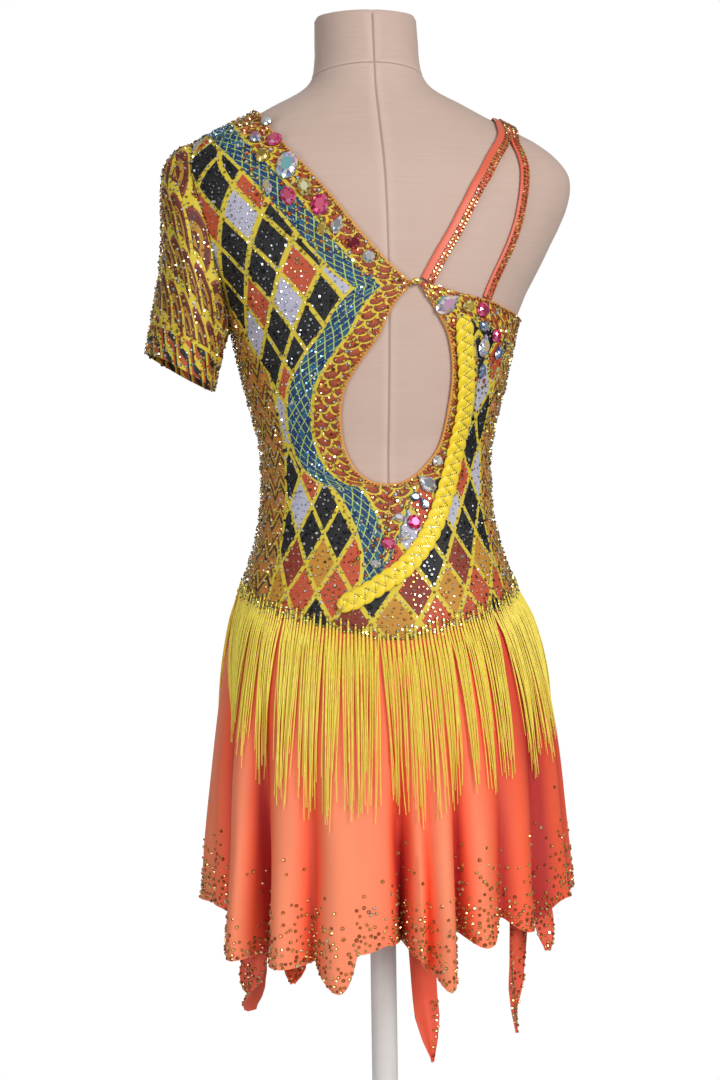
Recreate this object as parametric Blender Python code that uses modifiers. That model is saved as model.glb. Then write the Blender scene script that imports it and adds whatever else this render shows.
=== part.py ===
"""Salsa dance dress standing on a limbless dress form.

Metres, +Z up. The origin is the centre of the stand's base on the floor. The wearer faces -Y, so the
open back looks along +Y, and the sleeve is on the wearer's left, at +X. A place on the form is an
angle round it in degrees (0 at the centre back, 90 at the wearer's left side, 180 at the centre front)
and a height above the waist in metres.
"""
import math

import bmesh
import bpy
import numpy as np

# Driving dimensions
WAIST_HEIGHT = 0.825        # the waist above the floor
EASE = 0.0022               # air between the form and the cloth
WALL = 0.0015               # sequinned stretch cloth with its lining
GAP = 0.0003                # between two pieces at a seam
LAY = 0.0006                # under a piece that lies on a panel
CLOTH_OUT = EASE + WALL

BASE_RADIUS = 0.170
BASE_THICKNESS = 0.012
BASE_EDGE = 0.002
POLE_RADIUS = 0.013
NECK_TOP = 0.458            # above the waist
FORM_FOOT = -0.270
FORM_FOOT_SIZE = 0.94       # the foot's and the neck's ends are drawn in to these shares
FORM_TOP_SIZE = 0.90

BUST_OUT = 0.019
BUST_SPREAD = 0.045
BUST_SIDE = 0.072
BUST_HEIGHT = 0.168

SHOULDER_PUFF = 0.0015      # the sleeved shoulder stands off the form
PUFF_HEIGHT = 0.335
PUFF_SPREAD_HEIGHT = 0.030
PUFF_SPREAD_ANGLE = 55.0

HIP_SIDE = -0.112           # the skirt seam at the side seams
HIP_DIP = 0.044             # and how far it drops at the centre back and front
FLARE_OUT = 0.062           # the skirt's flare, far below the seam, by these shares:
FLARE_SIDES = 0.575         # at the sides
FLARE_LEAN = 0.130          # less on the wearer's left and more on the right
FLARE_ENDS = 0.275          # more at the back and the front
FLARE_DROP = 0.092          # the drop over which it opens
HIP_ROUND = 6.0             # degrees over which the dip's lowest point is rounded
HIP_SPREAD = 82.0           # degrees from the dip to the seam's level part
HIP_CURVE = 0.85            # under 1, the dip narrows towards its lowest point

BINDING_WIDTH = 0.0036
BINDING_THICKNESS = 0.0024
STRAP_INNER_WIDTH = 0.0140
STRAP_OUTER_WIDTH = 0.0105
STRAP_THICKNESS = 0.0018
STRAP_EDGE = 0.0008         # each side of the cloth is folded under by this much
KEYHOLE_TRIM_LEFT = 0.25    # shares of a step kept clear of the neckline's binding
KEYHOLE_TRIM_RIGHT = 0.70
STONE_OUT = EASE + BINDING_THICKNESS + 0.0005
BRAID_WIDTH = 0.0197
BRAID_THICKNESS = 0.0022
BRAID_RELIEF = 0.0022
BRAID_PLAITS = 21
BRAID_CROWN = 0.55          # share of its height lost towards each edge
STONE_HEIGHT = 0.0042
STONE_SIDES = 6
STONE_GIRDLE = 0.5          # a stone's half width at its girdle and at its table, as shares
STONE_TABLE = 0.28
STONE_TAPER = 0.75          # how far a pointed stone narrows to its tip
STONE_BOW = 0.085           # radius that a long stone's underside is bent to

FRINGE_LENGTH = 0.171
FRINGE_STRIP = 0.009
FRINGE_THICKNESS = 0.0016
FRINGE_SEAT = 0.0012        # the strip's lower edge above the skirt seam
STRAND_THICKNESS = 0.0022
STRAND_CLEAR = 0.0030       # between the strands' inner side and the skirt
STRAND_DROPS = (0.035, 0.100)
STRAND_REACH = 4.0          # degrees of skirt that a strand lies over
STRAND_SHALLOW = -0.004     # a strand bridges a trough deeper than this
STRAND_UNEVEN = 0.035       # share of the length that it varies by
STRANDS = {"fringe_back": 54, "fringe_front": 44}
NECK_BACK_STEPS = 13
NECK_FRONT_STEPS = 20
TOP_RIGHT_STEPS = 10
KEYHOLE_STEPS = 16
SEAM_STEPS = 8
SHOULDER_SPLIT = 0.25       # degrees between the panels and the shoulder's ridge
SIDE_SPLIT = 0.08           # and between the panels and the side seams
WAIST_SPLIT = -0.012        # where the side seam is level with the keyhole's foot
POINT_DRIFT = 0.015         # the hem points swing out by this much towards their tips
POINT_MARGIN = 2.0          # degrees of wall beside a point that it also stays behind
POINT_REACH = 30.0          # degrees of wall that its folds are read over
POINT_PLACES = 15           # places across it where they are read
POINT_CREASE = 0.005        # how deep each one is folded down its middle
POINT_THIN = 0.8            # their cloth's share of the wall
POINT_TAPER = ((0.0, 0.72, 0.86, 1.0), (1.0, 0.94, 0.60, 0.08))     # width by share of the length
CLASP_HALF = (0.0045, 0.0020, 0.0032)

# The form's sections: height, half width, centre y, depth behind, depth in front, squareness
SECTIONS = np.array([
    (-0.270, 0.146, 0.000, 0.100, 0.088, 2.30),
    (-0.235, 0.149, 0.000, 0.112, 0.093, 2.25),
    (-0.195, 0.149, 0.000, 0.117, 0.097, 2.20),
    (-0.150, 0.143, 0.000, 0.112, 0.101, 2.20),
    (-0.120, 0.136, 0.000, 0.104, 0.102, 2.20),
    (-0.090, 0.126, 0.000, 0.096, 0.100, 2.20),
    (-0.060, 0.117, 0.000, 0.088, 0.097, 2.20),
    (-0.030, 0.112, 0.000, 0.082, 0.094, 2.20),
    (0.000, 0.111, 0.000, 0.080, 0.092, 2.20),
    (0.030, 0.112, 0.000, 0.083, 0.093, 2.20),
    (0.060, 0.119, 0.000, 0.089, 0.096, 2.20),
    (0.090, 0.127, 0.000, 0.094, 0.100, 2.20),
    (0.120, 0.134, 0.000, 0.098, 0.105, 2.20),
    (0.150, 0.141, 0.000, 0.101, 0.108, 2.20),
    (0.180, 0.154, 0.000, 0.102, 0.108, 2.10),
    (0.210, 0.170, 0.000, 0.101, 0.104, 2.05),
    (0.240, 0.186, -0.001, 0.099, 0.096, 2.00),
    (0.265, 0.197, -0.002, 0.096, 0.086, 2.00),
    (0.285, 0.201, -0.003, 0.092, 0.077, 2.00),
    (0.300, 0.198, -0.004, 0.087, 0.070, 2.00),
    (0.315, 0.186, -0.005, 0.080, 0.063, 2.00),
    (0.330, 0.166, -0.006, 0.072, 0.057, 2.00),
    (0.345, 0.137, -0.008, 0.064, 0.053, 2.00),
    (0.358, 0.112, -0.010, 0.058, 0.051, 2.00),
    (0.370, 0.0905, -0.013, 0.054, 0.050, 2.00),
    (0.380, 0.072, -0.016, 0.051, 0.050, 2.00),
    (0.392, 0.058, -0.019, 0.050, 0.050, 2.00),
    (0.410, 0.053, -0.023, 0.050, 0.050, 2.00),
    (0.435, 0.052, -0.027, 0.050, 0.050, 2.00),
    (0.458, 0.051, -0.031, 0.049, 0.049, 2.00),
])

# Edges as places on the form: angle, height
NECK_POINT = (90.0, 0.3585)
NECK_BACK = [NECK_POINT, (66.0, 0.353), (52.0, 0.3445), (44.5, 0.338), (37.0, 0.329), (32.0, 0.321),
             (24.0, 0.302), (16.5, 0.273), (9.0, 0.237), (-1.0, 0.200), (-7.5, 0.183)]
NECK_FRONT = [NECK_POINT, (112.0, 0.350), (128.0, 0.326), (141.0, 0.294), (160.0, 0.260),
              (180.0, 0.234), (200.0, 0.212), (220.0, 0.196), (240.0, 0.180), (256.0, 0.165),
              (270.0, 0.156)]
TOP_RIGHT = [(-90.0, 0.156), (-75.0, 0.155), (-52.5, 0.162), (-42.0, 0.168), (-27.0, 0.174),
             (-17.5, 0.180), (-9.0, 0.186)]
KEYHOLE_LEFT = [(-7.5, 0.183), (-1.5, 0.164), (3.5, 0.133), (10.5, 0.109), (17.5, 0.083),
                (20.5, 0.055), (19.5, 0.028), (14.0, 0.006), (7.0, -0.005), (0.5, -0.008)]
KEYHOLE_RIGHT = [(-9.0, 0.186), (-16.0, 0.158), (-22.5, 0.132), (-26.0, 0.099), (-26.4, 0.063),
                 (-24.0, 0.030), (-15.0, 0.007), (-6.5, -0.005), (0.5, -0.008)]
BACK_SEAM = [(0.5, -0.043), (2.5, -0.078), (8.0, -0.106), (18.0, -0.124)]
SEAM_FOOT_ANGLE = 25.0
STRAP_INNER = [(-12.7, 0.1856), (-17.0, 0.211), (-21.0, 0.234), (-24.0, 0.257), (-28.0, 0.283),
               (-36.0, 0.310), (-52.5, 0.334), (-68.0, 0.345), (-86.0, 0.3495), (-119.0, 0.3435),
               (-138.0, 0.315), (-144.0, 0.284), (-144.3, 0.246), (-143.5, 0.2012)]
STRAP_OUTER = [(-39.7, 0.1700), (-42.0, 0.198), (-44.0, 0.222), (-44.5, 0.244), (-44.0, 0.266),
               (-44.5, 0.289), (-47.0, 0.310), (-52.0, 0.326), (-66.0, 0.338), (-86.0, 0.344),
               (-122.0, 0.3290), (-135.0, 0.308), (-139.5, 0.276), (-139.0, 0.240), (-137.3, 0.1964)]
BRAID = [(-28.0, 0.153), (-30.0, 0.128), (-32.5, 0.103), (-34.5, 0.079), (-35.3, 0.057),
         (-34.2, 0.033), (-31.3, 0.008), (-27.2, -0.016), (-22.5, -0.037), (-17.0, -0.056),
         (-10.5, -0.074), (-3.0, -0.091), (4.5, -0.105), (12.5, -0.117), (20.5, -0.126)]
CLASP = (-8.2, 0.1850)

# The armhole: an egg round the shoulder's side
ARMHOLE_HEIGHT = 0.236
ARMHOLE_HALF = 0.090
ARMHOLE_SPREAD = 27.0       # half its width, degrees round the form
ARMHOLE_TILT = 12.0         # wider above than below

# The sleeve's rings below the armhole: outer x, outer z, inner x, inner z, half depth, centre y
SLEEVE_RINGS = np.array([
    (0.1905, 0.3235, 0.1470, 0.1370, 0.0500, 0.001),
    (0.2060, 0.3060, 0.1495, 0.1300, 0.0540, 0.000),
    (0.2100, 0.2800, 0.1515, 0.1220, 0.0560, 0.000),
    (0.2095, 0.2450, 0.1535, 0.1130, 0.0570, 0.000),
    (0.2120, 0.2070, 0.1560, 0.1040, 0.0570, 0.000),
    (0.2180, 0.1700, 0.1580, 0.0950, 0.0560, 0.000),
    (0.2270, 0.1235, 0.1600, 0.0850, 0.0550, 0.000),
])

# The skirt's folds, ridge and trough in turn: angle, out, drop where it starts, hem height
FOLDS = np.array([
    (-177.0, 0.016, 0.020, -0.462), (-168.0, -0.016, 0.040, -0.440), (-159.0, 0.015, 0.030, -0.436),
    (-151.0, -0.014, 0.050, -0.446), (-142.0, 0.018, 0.020, -0.470), (-133.0, -0.018, 0.030, -0.448),
    (-123.0, 0.014, 0.040, -0.436), (-114.0, -0.012, 0.060, -0.430), (-104.0, 0.014, 0.020, -0.434),
    (-94.0, -0.012, 0.040, -0.420), (-83.0, 0.013, 0.010, -0.417), (-71.0, -0.014, 0.050, -0.424),
    (-60.0, 0.014, 0.020, -0.414), (-47.0, -0.018, 0.070, -0.440), (-38.0, 0.012, 0.050, -0.436),
    (-30.0, -0.008, 0.080, -0.422), (-21.0, 0.014, 0.060, -0.444), (-14.5, -0.020, 0.050, -0.432),
    (-9.5, 0.020, 0.060, -0.480), (-5.3, -0.004, 0.110, -0.464), (-2.5, 0.014, 0.090, -0.452),
    (1.0, -0.036, 0.060, -0.438), (6.0, 0.008, 0.050, -0.437), (13.5, 0.014, 0.040, -0.444),
    (19.0, 0.018, 0.030, -0.480), (28.0, -0.010, 0.070, -0.456), (38.0, 0.016, 0.040, -0.462),
    (49.0, -0.034, 0.050, -0.452), (59.0, 0.017, 0.030, -0.462), (72.0, -0.020, 0.040, -0.436),
    (82.0, 0.008, 0.010, -0.419), (94.0, 0.018, 0.020, -0.420), (106.0, -0.014, 0.050, -0.418),
    (116.0, 0.016, 0.030, -0.437), (125.0, -0.018, 0.040, -0.450), (134.0, 0.014, 0.030, -0.440),
    (143.0, -0.012, 0.060, -0.436), (152.0, 0.018, 0.020, -0.470), (161.0, -0.016, 0.040, -0.452),
    (172.0, 0.012, 0.050, -0.442), (177.5, -0.006, 0.080, -0.452),
])
FOLD_PINCH = 0.55           # ridges are round and wide, troughs narrow
FOLD_FULL = 0.300           # the drop at which a fold has its whole depth
FOLD_SWELL = 1.25           # folds open slowly below the seam, then faster
SKIRT_ROWS = 7
PANEL_EDGE = 0.1            # degrees between a panel's side and the side seam
SKIRT_BUNCH = 1.15          # rows are closer together near the seam
COLUMN_STEP = 3.4           # degrees between the skirt's columns

# The hem points sewn in under the hem: name, angle, half width in degrees, top, tip, lean in degrees,
# how far they follow the wall's folds (0 to 1), and how far they hang inside the skirt's outer side
HEM_POINTS = [
    ("hem_point_left", 65.0, 14.0, -0.400, -0.521, 4.0, 0.6, 0.013),
    ("hem_point_small", 38.0, 5.0, -0.425, -0.479, -2.0, 0.0, 0.013),
    ("hem_point_centre", -5.5, 4.6, -0.410, -0.561, -3.5, 0.0, 0.013),
    ("hem_point_right", -56.0, 7.0, -0.385, -0.541, 14.0, 0.2, 0.020),
    ("hem_point_side", -57.0, 4.0, -0.360, -0.463, 5.0, 0.6, 0.014),
]

# Large stones: angle, height, length, width, turn in degrees, pointed end (1 or 0), colour name
STONES = [
    (46.5, 0.340, 0.012, 0.012, 0, 0, "crystal"), (43.0, 0.3245, 0.014, 0.012, 30, 1, "aurora"),
    (35.0, 0.3215, 0.017, 0.016, 0, 0, "pink"), (36.0, 0.306, 0.017, 0.014, 0, 0, "gold"),
    (27.6, 0.296, 0.030, 0.021, -8, 0, "aurora"), (34.0, 0.277, 0.017, 0.010, 10, 1, "aurora"),
    (22.8, 0.275, 0.018, 0.014, 0, 0, "gold"), (28.0, 0.267, 0.019, 0.015, 5, 0, "pink"),
    (19.2, 0.258, 0.022, 0.017, -20, 0, "pink"), (15.0, 0.239, 0.019, 0.012, -30, 1, "crystal"),
    (19.8, 0.235, 0.015, 0.011, -20, 0, "gold"), (10.3, 0.222, 0.015, 0.012, -40, 1, "garnet"),
    (6.3, 0.208, 0.013, 0.012, 0, 0, "crystal"),
    (-20.6, 0.164, 0.028, 0.018, -55, 1, "aurora"), (-29.7, 0.162, 0.013, 0.013, 0, 0, "gold"),
    (-37.6, 0.159, 0.015, 0.015, 0, 0, "pink"), (-39.2, 0.144, 0.013, 0.011, 60, 1, "sapphire"),
    (-41.4, 0.125, 0.023, 0.014, 0, 1, "aurora"), (-48.7, 0.135, 0.014, 0.012, 0, 0, "pink"),
    (-52.5, 0.119, 0.014, 0.009, 0, 1, "sapphire"), (-42.5, 0.101, 0.016, 0.008, 0, 1, "sapphire"),
    (-22.8, 0.014, 0.011, 0.011, 0, 0, "crystal"), (-16.9, -0.008, 0.022, 0.015, 50, 1, "aurora"),
    (-15.4, -0.028, 0.013, 0.009, 30, 1, "sapphire"), (-10.6, -0.021, 0.012, 0.009, 80, 1, "sapphire"),
    (-9.8, -0.046, 0.015, 0.014, 30, 0, "pink"), (-3.0, -0.041, 0.014, 0.009, 80, 1, "aurora"),
    (1.0, -0.066, 0.015, 0.012, 75, 0, "pink"), (-4.6, -0.060, 0.012, 0.008, 80, 0, "crystal"),
    (6.5, -0.085, 0.013, 0.009, 70, 1, "crystal"),
]

# Colours: base colour (linear), roughness, metallic
FINISHES = {
    "coral": ((0.91, 0.17, 0.07), 0.45, 0.0),
    "coral_dark": ((0.75, 0.10, 0.04), 0.5, 0.0),
    "print_black": ((0.015, 0.015, 0.02), 0.35, 0.0),
    "print_gold": ((0.60, 0.42, 0.06), 0.4, 0.2),
    "print_maroon": ((0.16, 0.03, 0.02), 0.4, 0.0),
    "yellow": ((0.85, 0.70, 0.04), 0.4, 0.0),
    "linen": ((0.62, 0.48, 0.40), 0.85, 0.0),
    "paint": ((0.75, 0.74, 0.71), 0.4, 0.0),
    "crystal": ((0.80, 0.82, 0.85), 0.08, 0.4),
    "aurora": ((0.55, 0.72, 0.85), 0.08, 0.5),
    "pink": ((0.85, 0.05, 0.16), 0.1, 0.3),
    "gold": ((0.70, 0.50, 0.08), 0.1, 0.6),
    "garnet": ((0.22, 0.01, 0.04), 0.1, 0.3),
    "sapphire": ((0.05, 0.10, 0.45), 0.1, 0.4),
}


def clear_scene():
    """Start from an empty file."""
    for item in list(bpy.data.objects):
        bpy.data.objects.remove(item, do_unlink=True)


def finish(name):
    """A plain Principled material for one of the FINISHES."""
    material = bpy.data.materials.get(name)
    if material is None:
        colour, roughness, metallic = FINISHES[name]
        material = bpy.data.materials.new(name)
        material.use_nodes = True
        shader = material.node_tree.nodes["Principled BSDF"]
        shader.inputs["Base Color"].default_value = (*colour, 1.0)
        shader.inputs["Roughness"].default_value = roughness
        shader.inputs["Metallic"].default_value = metallic
        material.diffuse_color = (*colour, 1.0)
    return material


def smoothstep(value):
    """Ease from 0 to 1 as value goes from 0 to 1."""
    value = np.clip(value, 0.0, 1.0)
    return value * value * (3.0 - 2.0 * value)


def through(keys, rows, at):
    """A smooth curve through rows at their keys, read at the given places."""
    rows = np.asarray(rows, float)
    slopes = np.empty_like(rows)
    slopes[1:-1] = (rows[2:] - rows[:-2]) / (keys[2:] - keys[:-2])[:, None]
    slopes[0] = (rows[1] - rows[0]) / (keys[1] - keys[0])
    slopes[-1] = (rows[-1] - rows[-2]) / (keys[-1] - keys[-2])
    at = np.clip(np.asarray(at, float), keys[0], keys[-1])
    first = np.clip(np.searchsorted(keys, at, side="right") - 1, 0, len(keys) - 2)
    span = keys[first + 1] - keys[first]
    t = ((at - keys[first]) / span)[..., None]
    span = span[..., None]
    return ((2 * t**3 - 3 * t**2 + 1) * rows[first] + (t**3 - 2 * t**2 + t) * span * slopes[first]
            + (3 * t**2 - 2 * t**3) * rows[first + 1] + (t**3 - t**2) * span * slopes[first + 1])


def skin(angle, height):
    """Points of the form's own surface, heights still from the waist."""
    angle, height = np.broadcast_arrays(np.asarray(angle, float), np.asarray(height, float))
    section = through(SECTIONS[:, 0], SECTIONS[:, 1:], height)
    half, centre, behind, front, power = np.moveaxis(section, -1, 0)
    across, along = np.sin(np.radians(angle)), np.cos(np.radians(angle))
    x = half * np.sign(across) * np.abs(across) ** (2 / power)
    y = centre + np.where(along > 0, behind, front) * np.sign(along) * np.abs(along) ** (2 / power)
    facing = smoothstep(-2.0 * along)
    for side in (-BUST_SIDE, BUST_SIDE):
        round_off = ((x - side) ** 2 + (height - BUST_HEIGHT) ** 2) / (2 * BUST_SPREAD**2)
        y = y - BUST_OUT * facing * np.exp(-round_off)
    return np.stack([x, y, height], -1)


def slopes(angle, height):
    """How the form's surface runs per degree and per metre of height, and its outward normal."""
    turn, rise = 0.8, 0.002
    low = np.clip(np.asarray(height, float) - rise, SECTIONS[0, 0], SECTIONS[-1, 0])
    high = np.clip(np.asarray(height, float) + rise, SECTIONS[0, 0], SECTIONS[-1, 0])
    angle = np.asarray(angle, float)
    per_turn = (skin(angle + turn, height) - skin(angle - turn, height)) / (2 * turn)
    per_rise = (skin(angle, high) - skin(angle, low)) / (high - low)[..., None]
    normal = np.cross(per_rise, per_turn)
    normal /= np.linalg.norm(normal, axis=-1, keepdims=True)
    return per_turn, per_rise, normal


def shoulder_puff(angle, height):
    """How far the cloth stands off over the sleeved shoulder."""
    round_off = ((np.asarray(angle) - 90.0) / PUFF_SPREAD_ANGLE) ** 2
    round_off = round_off + ((np.asarray(height) - PUFF_HEIGHT) / PUFF_SPREAD_HEIGHT) ** 2
    return SHOULDER_PUFF * np.exp(-round_off)


def on_form(places, out):
    """World points of (angle, height) places, moved out from the form."""
    places = np.asarray(places, float)
    angle, height = places[..., 0], places[..., 1]
    normal = slopes(angle, height)[2]
    lift = np.asarray(out, float) + shoulder_puff(angle, height)
    return skin(angle, height) + normal * lift[..., None] + (0.0, 0.0, WAIST_HEIGHT)


def along(points, count):
    """Places spaced evenly by length along a smooth line through the given places."""
    points = np.asarray(points, float)
    world = on_form(points, CLOTH_OUT)
    steps = np.linalg.norm(np.diff(world, axis=0), axis=1)
    keys = np.concatenate([[0.0], np.cumsum(steps)])
    return through(keys, points, np.linspace(0.0, keys[-1], count))


def beside(line, distance):
    """A line of places moved sideways over the form; positive is to the line's right, seen outside."""
    line = np.asarray(line, float)
    per_turn, per_rise, normal = slopes(line[:, 0], line[:, 1])
    run = np.gradient(on_form(line, CLOTH_OUT), axis=0)
    side = np.cross(run, normal)
    side /= np.linalg.norm(side, axis=1, keepdims=True)
    a, b, c = (np.sum(per_turn**2, 1), np.sum(per_turn * per_rise, 1), np.sum(per_rise**2, 1))
    u, v = np.sum(per_turn * side, 1), np.sum(per_rise * side, 1)
    det = a * c - b * b
    shift = np.stack([(c * u - b * v) / det, (a * v - b * u) / det], 1)
    return line + shift * np.asarray(distance, float).reshape(-1, 1)


def hip(angle):
    """Height of the skirt seam, lowest at the centre back and the centre front."""
    angle = (np.asarray(angle, float) + 180.0) % 360.0 - 180.0
    away = np.minimum(np.abs(angle), 180.0 - np.abs(angle))
    rounded = (np.sqrt(away**2 + HIP_ROUND**2) - HIP_ROUND) / HIP_SPREAD
    return HIP_SIDE - HIP_DIP * (1.0 - np.clip(rounded, 0.0, 1.0) ** HIP_CURVE)


def armhole(turns, angle_sign, inset=0.0):
    """Places round the armhole; a turn of 0 is its top and 180 its foot, -1 is its back half."""
    turns = np.radians(np.asarray(turns, float))
    spread = (ARMHOLE_SPREAD + ARMHOLE_TILT * np.cos(turns)) * np.sin(turns) * (1.0 - inset)
    height = ARMHOLE_HEIGHT + ARMHOLE_HALF * (1.0 - inset) * np.cos(turns)
    return np.stack([90.0 + angle_sign * spread, height], -1)


def put(name, mesh, colour, collection):
    """Make the mesh a named object with its own material."""
    piece = bpy.data.objects.new(name, mesh)
    mesh.materials.append(finish(colour))
    collection.objects.link(piece)
    mesh.shade_smooth()
    mesh.set_sharp_from_angle(angle=math.radians(40))
    return piece


def loft(name, grid, closed=False):
    """An open sheet through a grid of points, rows by columns."""
    rows, columns = grid.shape[:2]
    wrap = columns if closed else columns - 1
    faces = [(r * columns + c, r * columns + (c + 1) % columns,
              (r + 1) * columns + (c + 1) % columns, (r + 1) * columns + c)
             for r in range(rows - 1) for c in range(wrap)]
    mesh = bpy.data.meshes.new(name)
    mesh.from_pydata(grid.reshape(-1, 3).tolist(), [], faces)
    mesh.update()
    return mesh


def thicken(piece, thickness, side):
    """Give a sheet its wall; a side of 1 grows it along its normals and -1 against them."""
    wall = piece.modifiers.new("wall", "SOLIDIFY")
    wall.thickness = thickness
    wall.offset = side
    wall.use_even_offset = True
    return piece


def solid_between(name, inner, outer, closed=False):
    """One closed body between an inner and an outer grid of the same shape."""
    rows, columns = inner.shape[:2]
    count = rows * columns
    wrap = columns if closed else columns - 1
    faces = []
    for r in range(rows - 1):
        for c in range(wrap):
            quad = (r * columns + c, r * columns + (c + 1) % columns,
                    (r + 1) * columns + (c + 1) % columns, (r + 1) * columns + c)
            faces.append(quad)
            faces.append(tuple(count + v for v in reversed(quad)))
    rims = [(c, (c + 1) % columns) for c in range(wrap)]
    rims += [((rows - 1) * columns + (c + 1) % columns, (rows - 1) * columns + c) for c in range(wrap)]
    if not closed:
        rims += [((r + 1) * columns, r * columns) for r in range(rows - 1)]
        rims += [((r + 1) * columns - 1, (r + 2) * columns - 1) for r in range(rows - 1)]
    faces += [(a, count + a, count + b, b) for a, b in rims]
    mesh = bpy.data.meshes.new(name)
    mesh.from_pydata(np.concatenate([inner.reshape(-1, 3), outer.reshape(-1, 3)]).tolist(), [], faces)
    work = bmesh.new()
    work.from_mesh(mesh)
    bmesh.ops.recalc_face_normals(work, faces=work.faces)
    work.to_mesh(mesh)
    work.free()
    return mesh


def ruled(left, right, columns):
    """Straight rows of places between two edges with the same number of points."""
    share = np.linspace(0.0, 1.0, columns)[None, :, None]
    return left[:, None, :] * (1.0 - share) + right[:, None, :] * share


def settle_to_hip(places, rows, lift):
    """Bend the last rows of a panel until its foot follows the skirt seam."""
    foot = places[-1]
    miss = hip(foot[:, 0]) + lift - foot[:, 1]
    ramp = smoothstep(np.linspace(0.0, 1.0, rows))
    places[-rows:, :, 1] += ramp[:, None] * miss[None, :]
    return places


def mitred(tip, first, second):
    """Where two edges meet after each is moved in from their shared tip, by equal distances."""
    seat = on_form(tip, CLOTH_OUT)
    one, two = on_form(first, CLOTH_OUT) - seat, on_form(second, CLOTH_OUT) - seat
    cosine = np.dot(one, two) / (np.linalg.norm(one) * np.linalg.norm(two))
    return tip + ((first + second) / 2 - tip) * 2.0 / (1.0 + cosine)


def side_seam(angle, top, foot, count):
    """A side seam as places, from top to foot."""
    return np.stack([np.full(count, angle), np.linspace(top, foot, count)], 1)


def joined(*pieces):
    """Edges end to end, each one's last place shared with the next one's first."""
    return np.concatenate([pieces[0]] + [piece[1:] for piece in pieces[1:]])


def dress_form(collection):
    """The limbless form: shoulders, waist, hips and a short neck."""
    heights = np.array([-0.262, -0.230, -0.185, -0.140, -0.100, -0.060, -0.015, 0.030, 0.075, 0.115,
                        0.145, 0.172, 0.200, 0.225, 0.248, 0.268, 0.286, 0.302, 0.316, 0.330, 0.345,
                        0.360, 0.376, 0.392, 0.415, NECK_TOP - 0.004])
    angles = np.linspace(0.0, 360.0, 30, endpoint=False)
    rings = skin(angles[None, :], heights[:, None])
    foot = skin(angles, FORM_FOOT) * (FORM_FOOT_SIZE, FORM_FOOT_SIZE, 1.0)
    top = skin(angles, NECK_TOP)
    top[:, :2] = top[:, :2].mean(0) + (top[:, :2] - top[:, :2].mean(0)) * FORM_TOP_SIZE
    grid = np.concatenate([foot[None], rings, top[None]]) + (0.0, 0.0, WAIST_HEIGHT)
    mesh = loft("form_torso", grid, closed=True)
    work = bmesh.new()
    work.from_mesh(mesh)
    bmesh.ops.holes_fill(work, edges=[e for e in work.edges if e.is_boundary])
    bmesh.ops.recalc_face_normals(work, faces=work.faces)
    work.to_mesh(mesh)
    work.free()
    put("form_torso", mesh, "linen", collection)


def stand(collection):
    """A round base and a pole, below the form."""
    pole_foot = BASE_THICKNESS + GAP
    pole_head = WAIST_HEIGHT + FORM_FOOT - GAP
    for name, radius, foot, head, sides in (
            ("stand_base", BASE_RADIUS, 0.0, BASE_THICKNESS, 48),
            ("stand_pole", POLE_RADIUS, pole_foot, pole_head, 20)):
        work = bmesh.new()
        bmesh.ops.create_cone(work, cap_ends=True, segments=sides, radius1=radius, radius2=radius,
                              depth=head - foot)
        bmesh.ops.translate(work, verts=work.verts, vec=(0.0, 0.0, (foot + head) / 2))
        mesh = bpy.data.meshes.new(name)
        work.to_mesh(mesh)
        work.free()
        piece = put(name, mesh, "paint", collection)
        if name == "stand_base":
            edge = piece.modifiers.new("soft edge", "BEVEL")
            edge.width = BASE_EDGE
            edge.segments = 1
            edge.limit_method = "ANGLE"


def neckline(offset):
    """The neckline from the back closure over the shoulder and under the arm, moved into the cloth."""
    left = along(NECK_BACK, NECK_BACK_STEPS)[::-1]
    front = along(NECK_FRONT, NECK_FRONT_STEPS)
    right = along([(angle + 360.0, height) for angle, height in TOP_RIGHT], TOP_RIGHT_STEPS)
    line = beside(joined(left, front, right), -offset)
    shoulder, under_arm = NECK_BACK_STEPS - 1, NECK_BACK_STEPS + NECK_FRONT_STEPS - 2
    return line, line[:shoulder + 1][::-1], line[shoulder:under_arm + 1], line[under_arm:]


def keyhole(offset):
    """The keyhole's edge, down its left side and up its right, moved into the cloth."""
    down = along(KEYHOLE_LEFT, KEYHOLE_STEPS)
    up = along(KEYHOLE_RIGHT, KEYHOLE_STEPS)[::-1]
    line = beside(joined(down, up), offset)
    return line[:KEYHOLE_STEPS], line[KEYHOLE_STEPS - 1:][::-1]


def back_seam(side):
    """The seam from the keyhole's foot to the hip, half a gap to one side."""
    start = (KEYHOLE_LEFT[-1][0], KEYHOLE_LEFT[-1][1] - BINDING_WIDTH - 2 * GAP)
    foot = (SEAM_FOOT_ANGLE, hip(SEAM_FOOT_ANGLE))
    return beside(along([start] + BACK_SEAM + [foot], SEAM_STEPS), side * GAP / 2)


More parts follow.
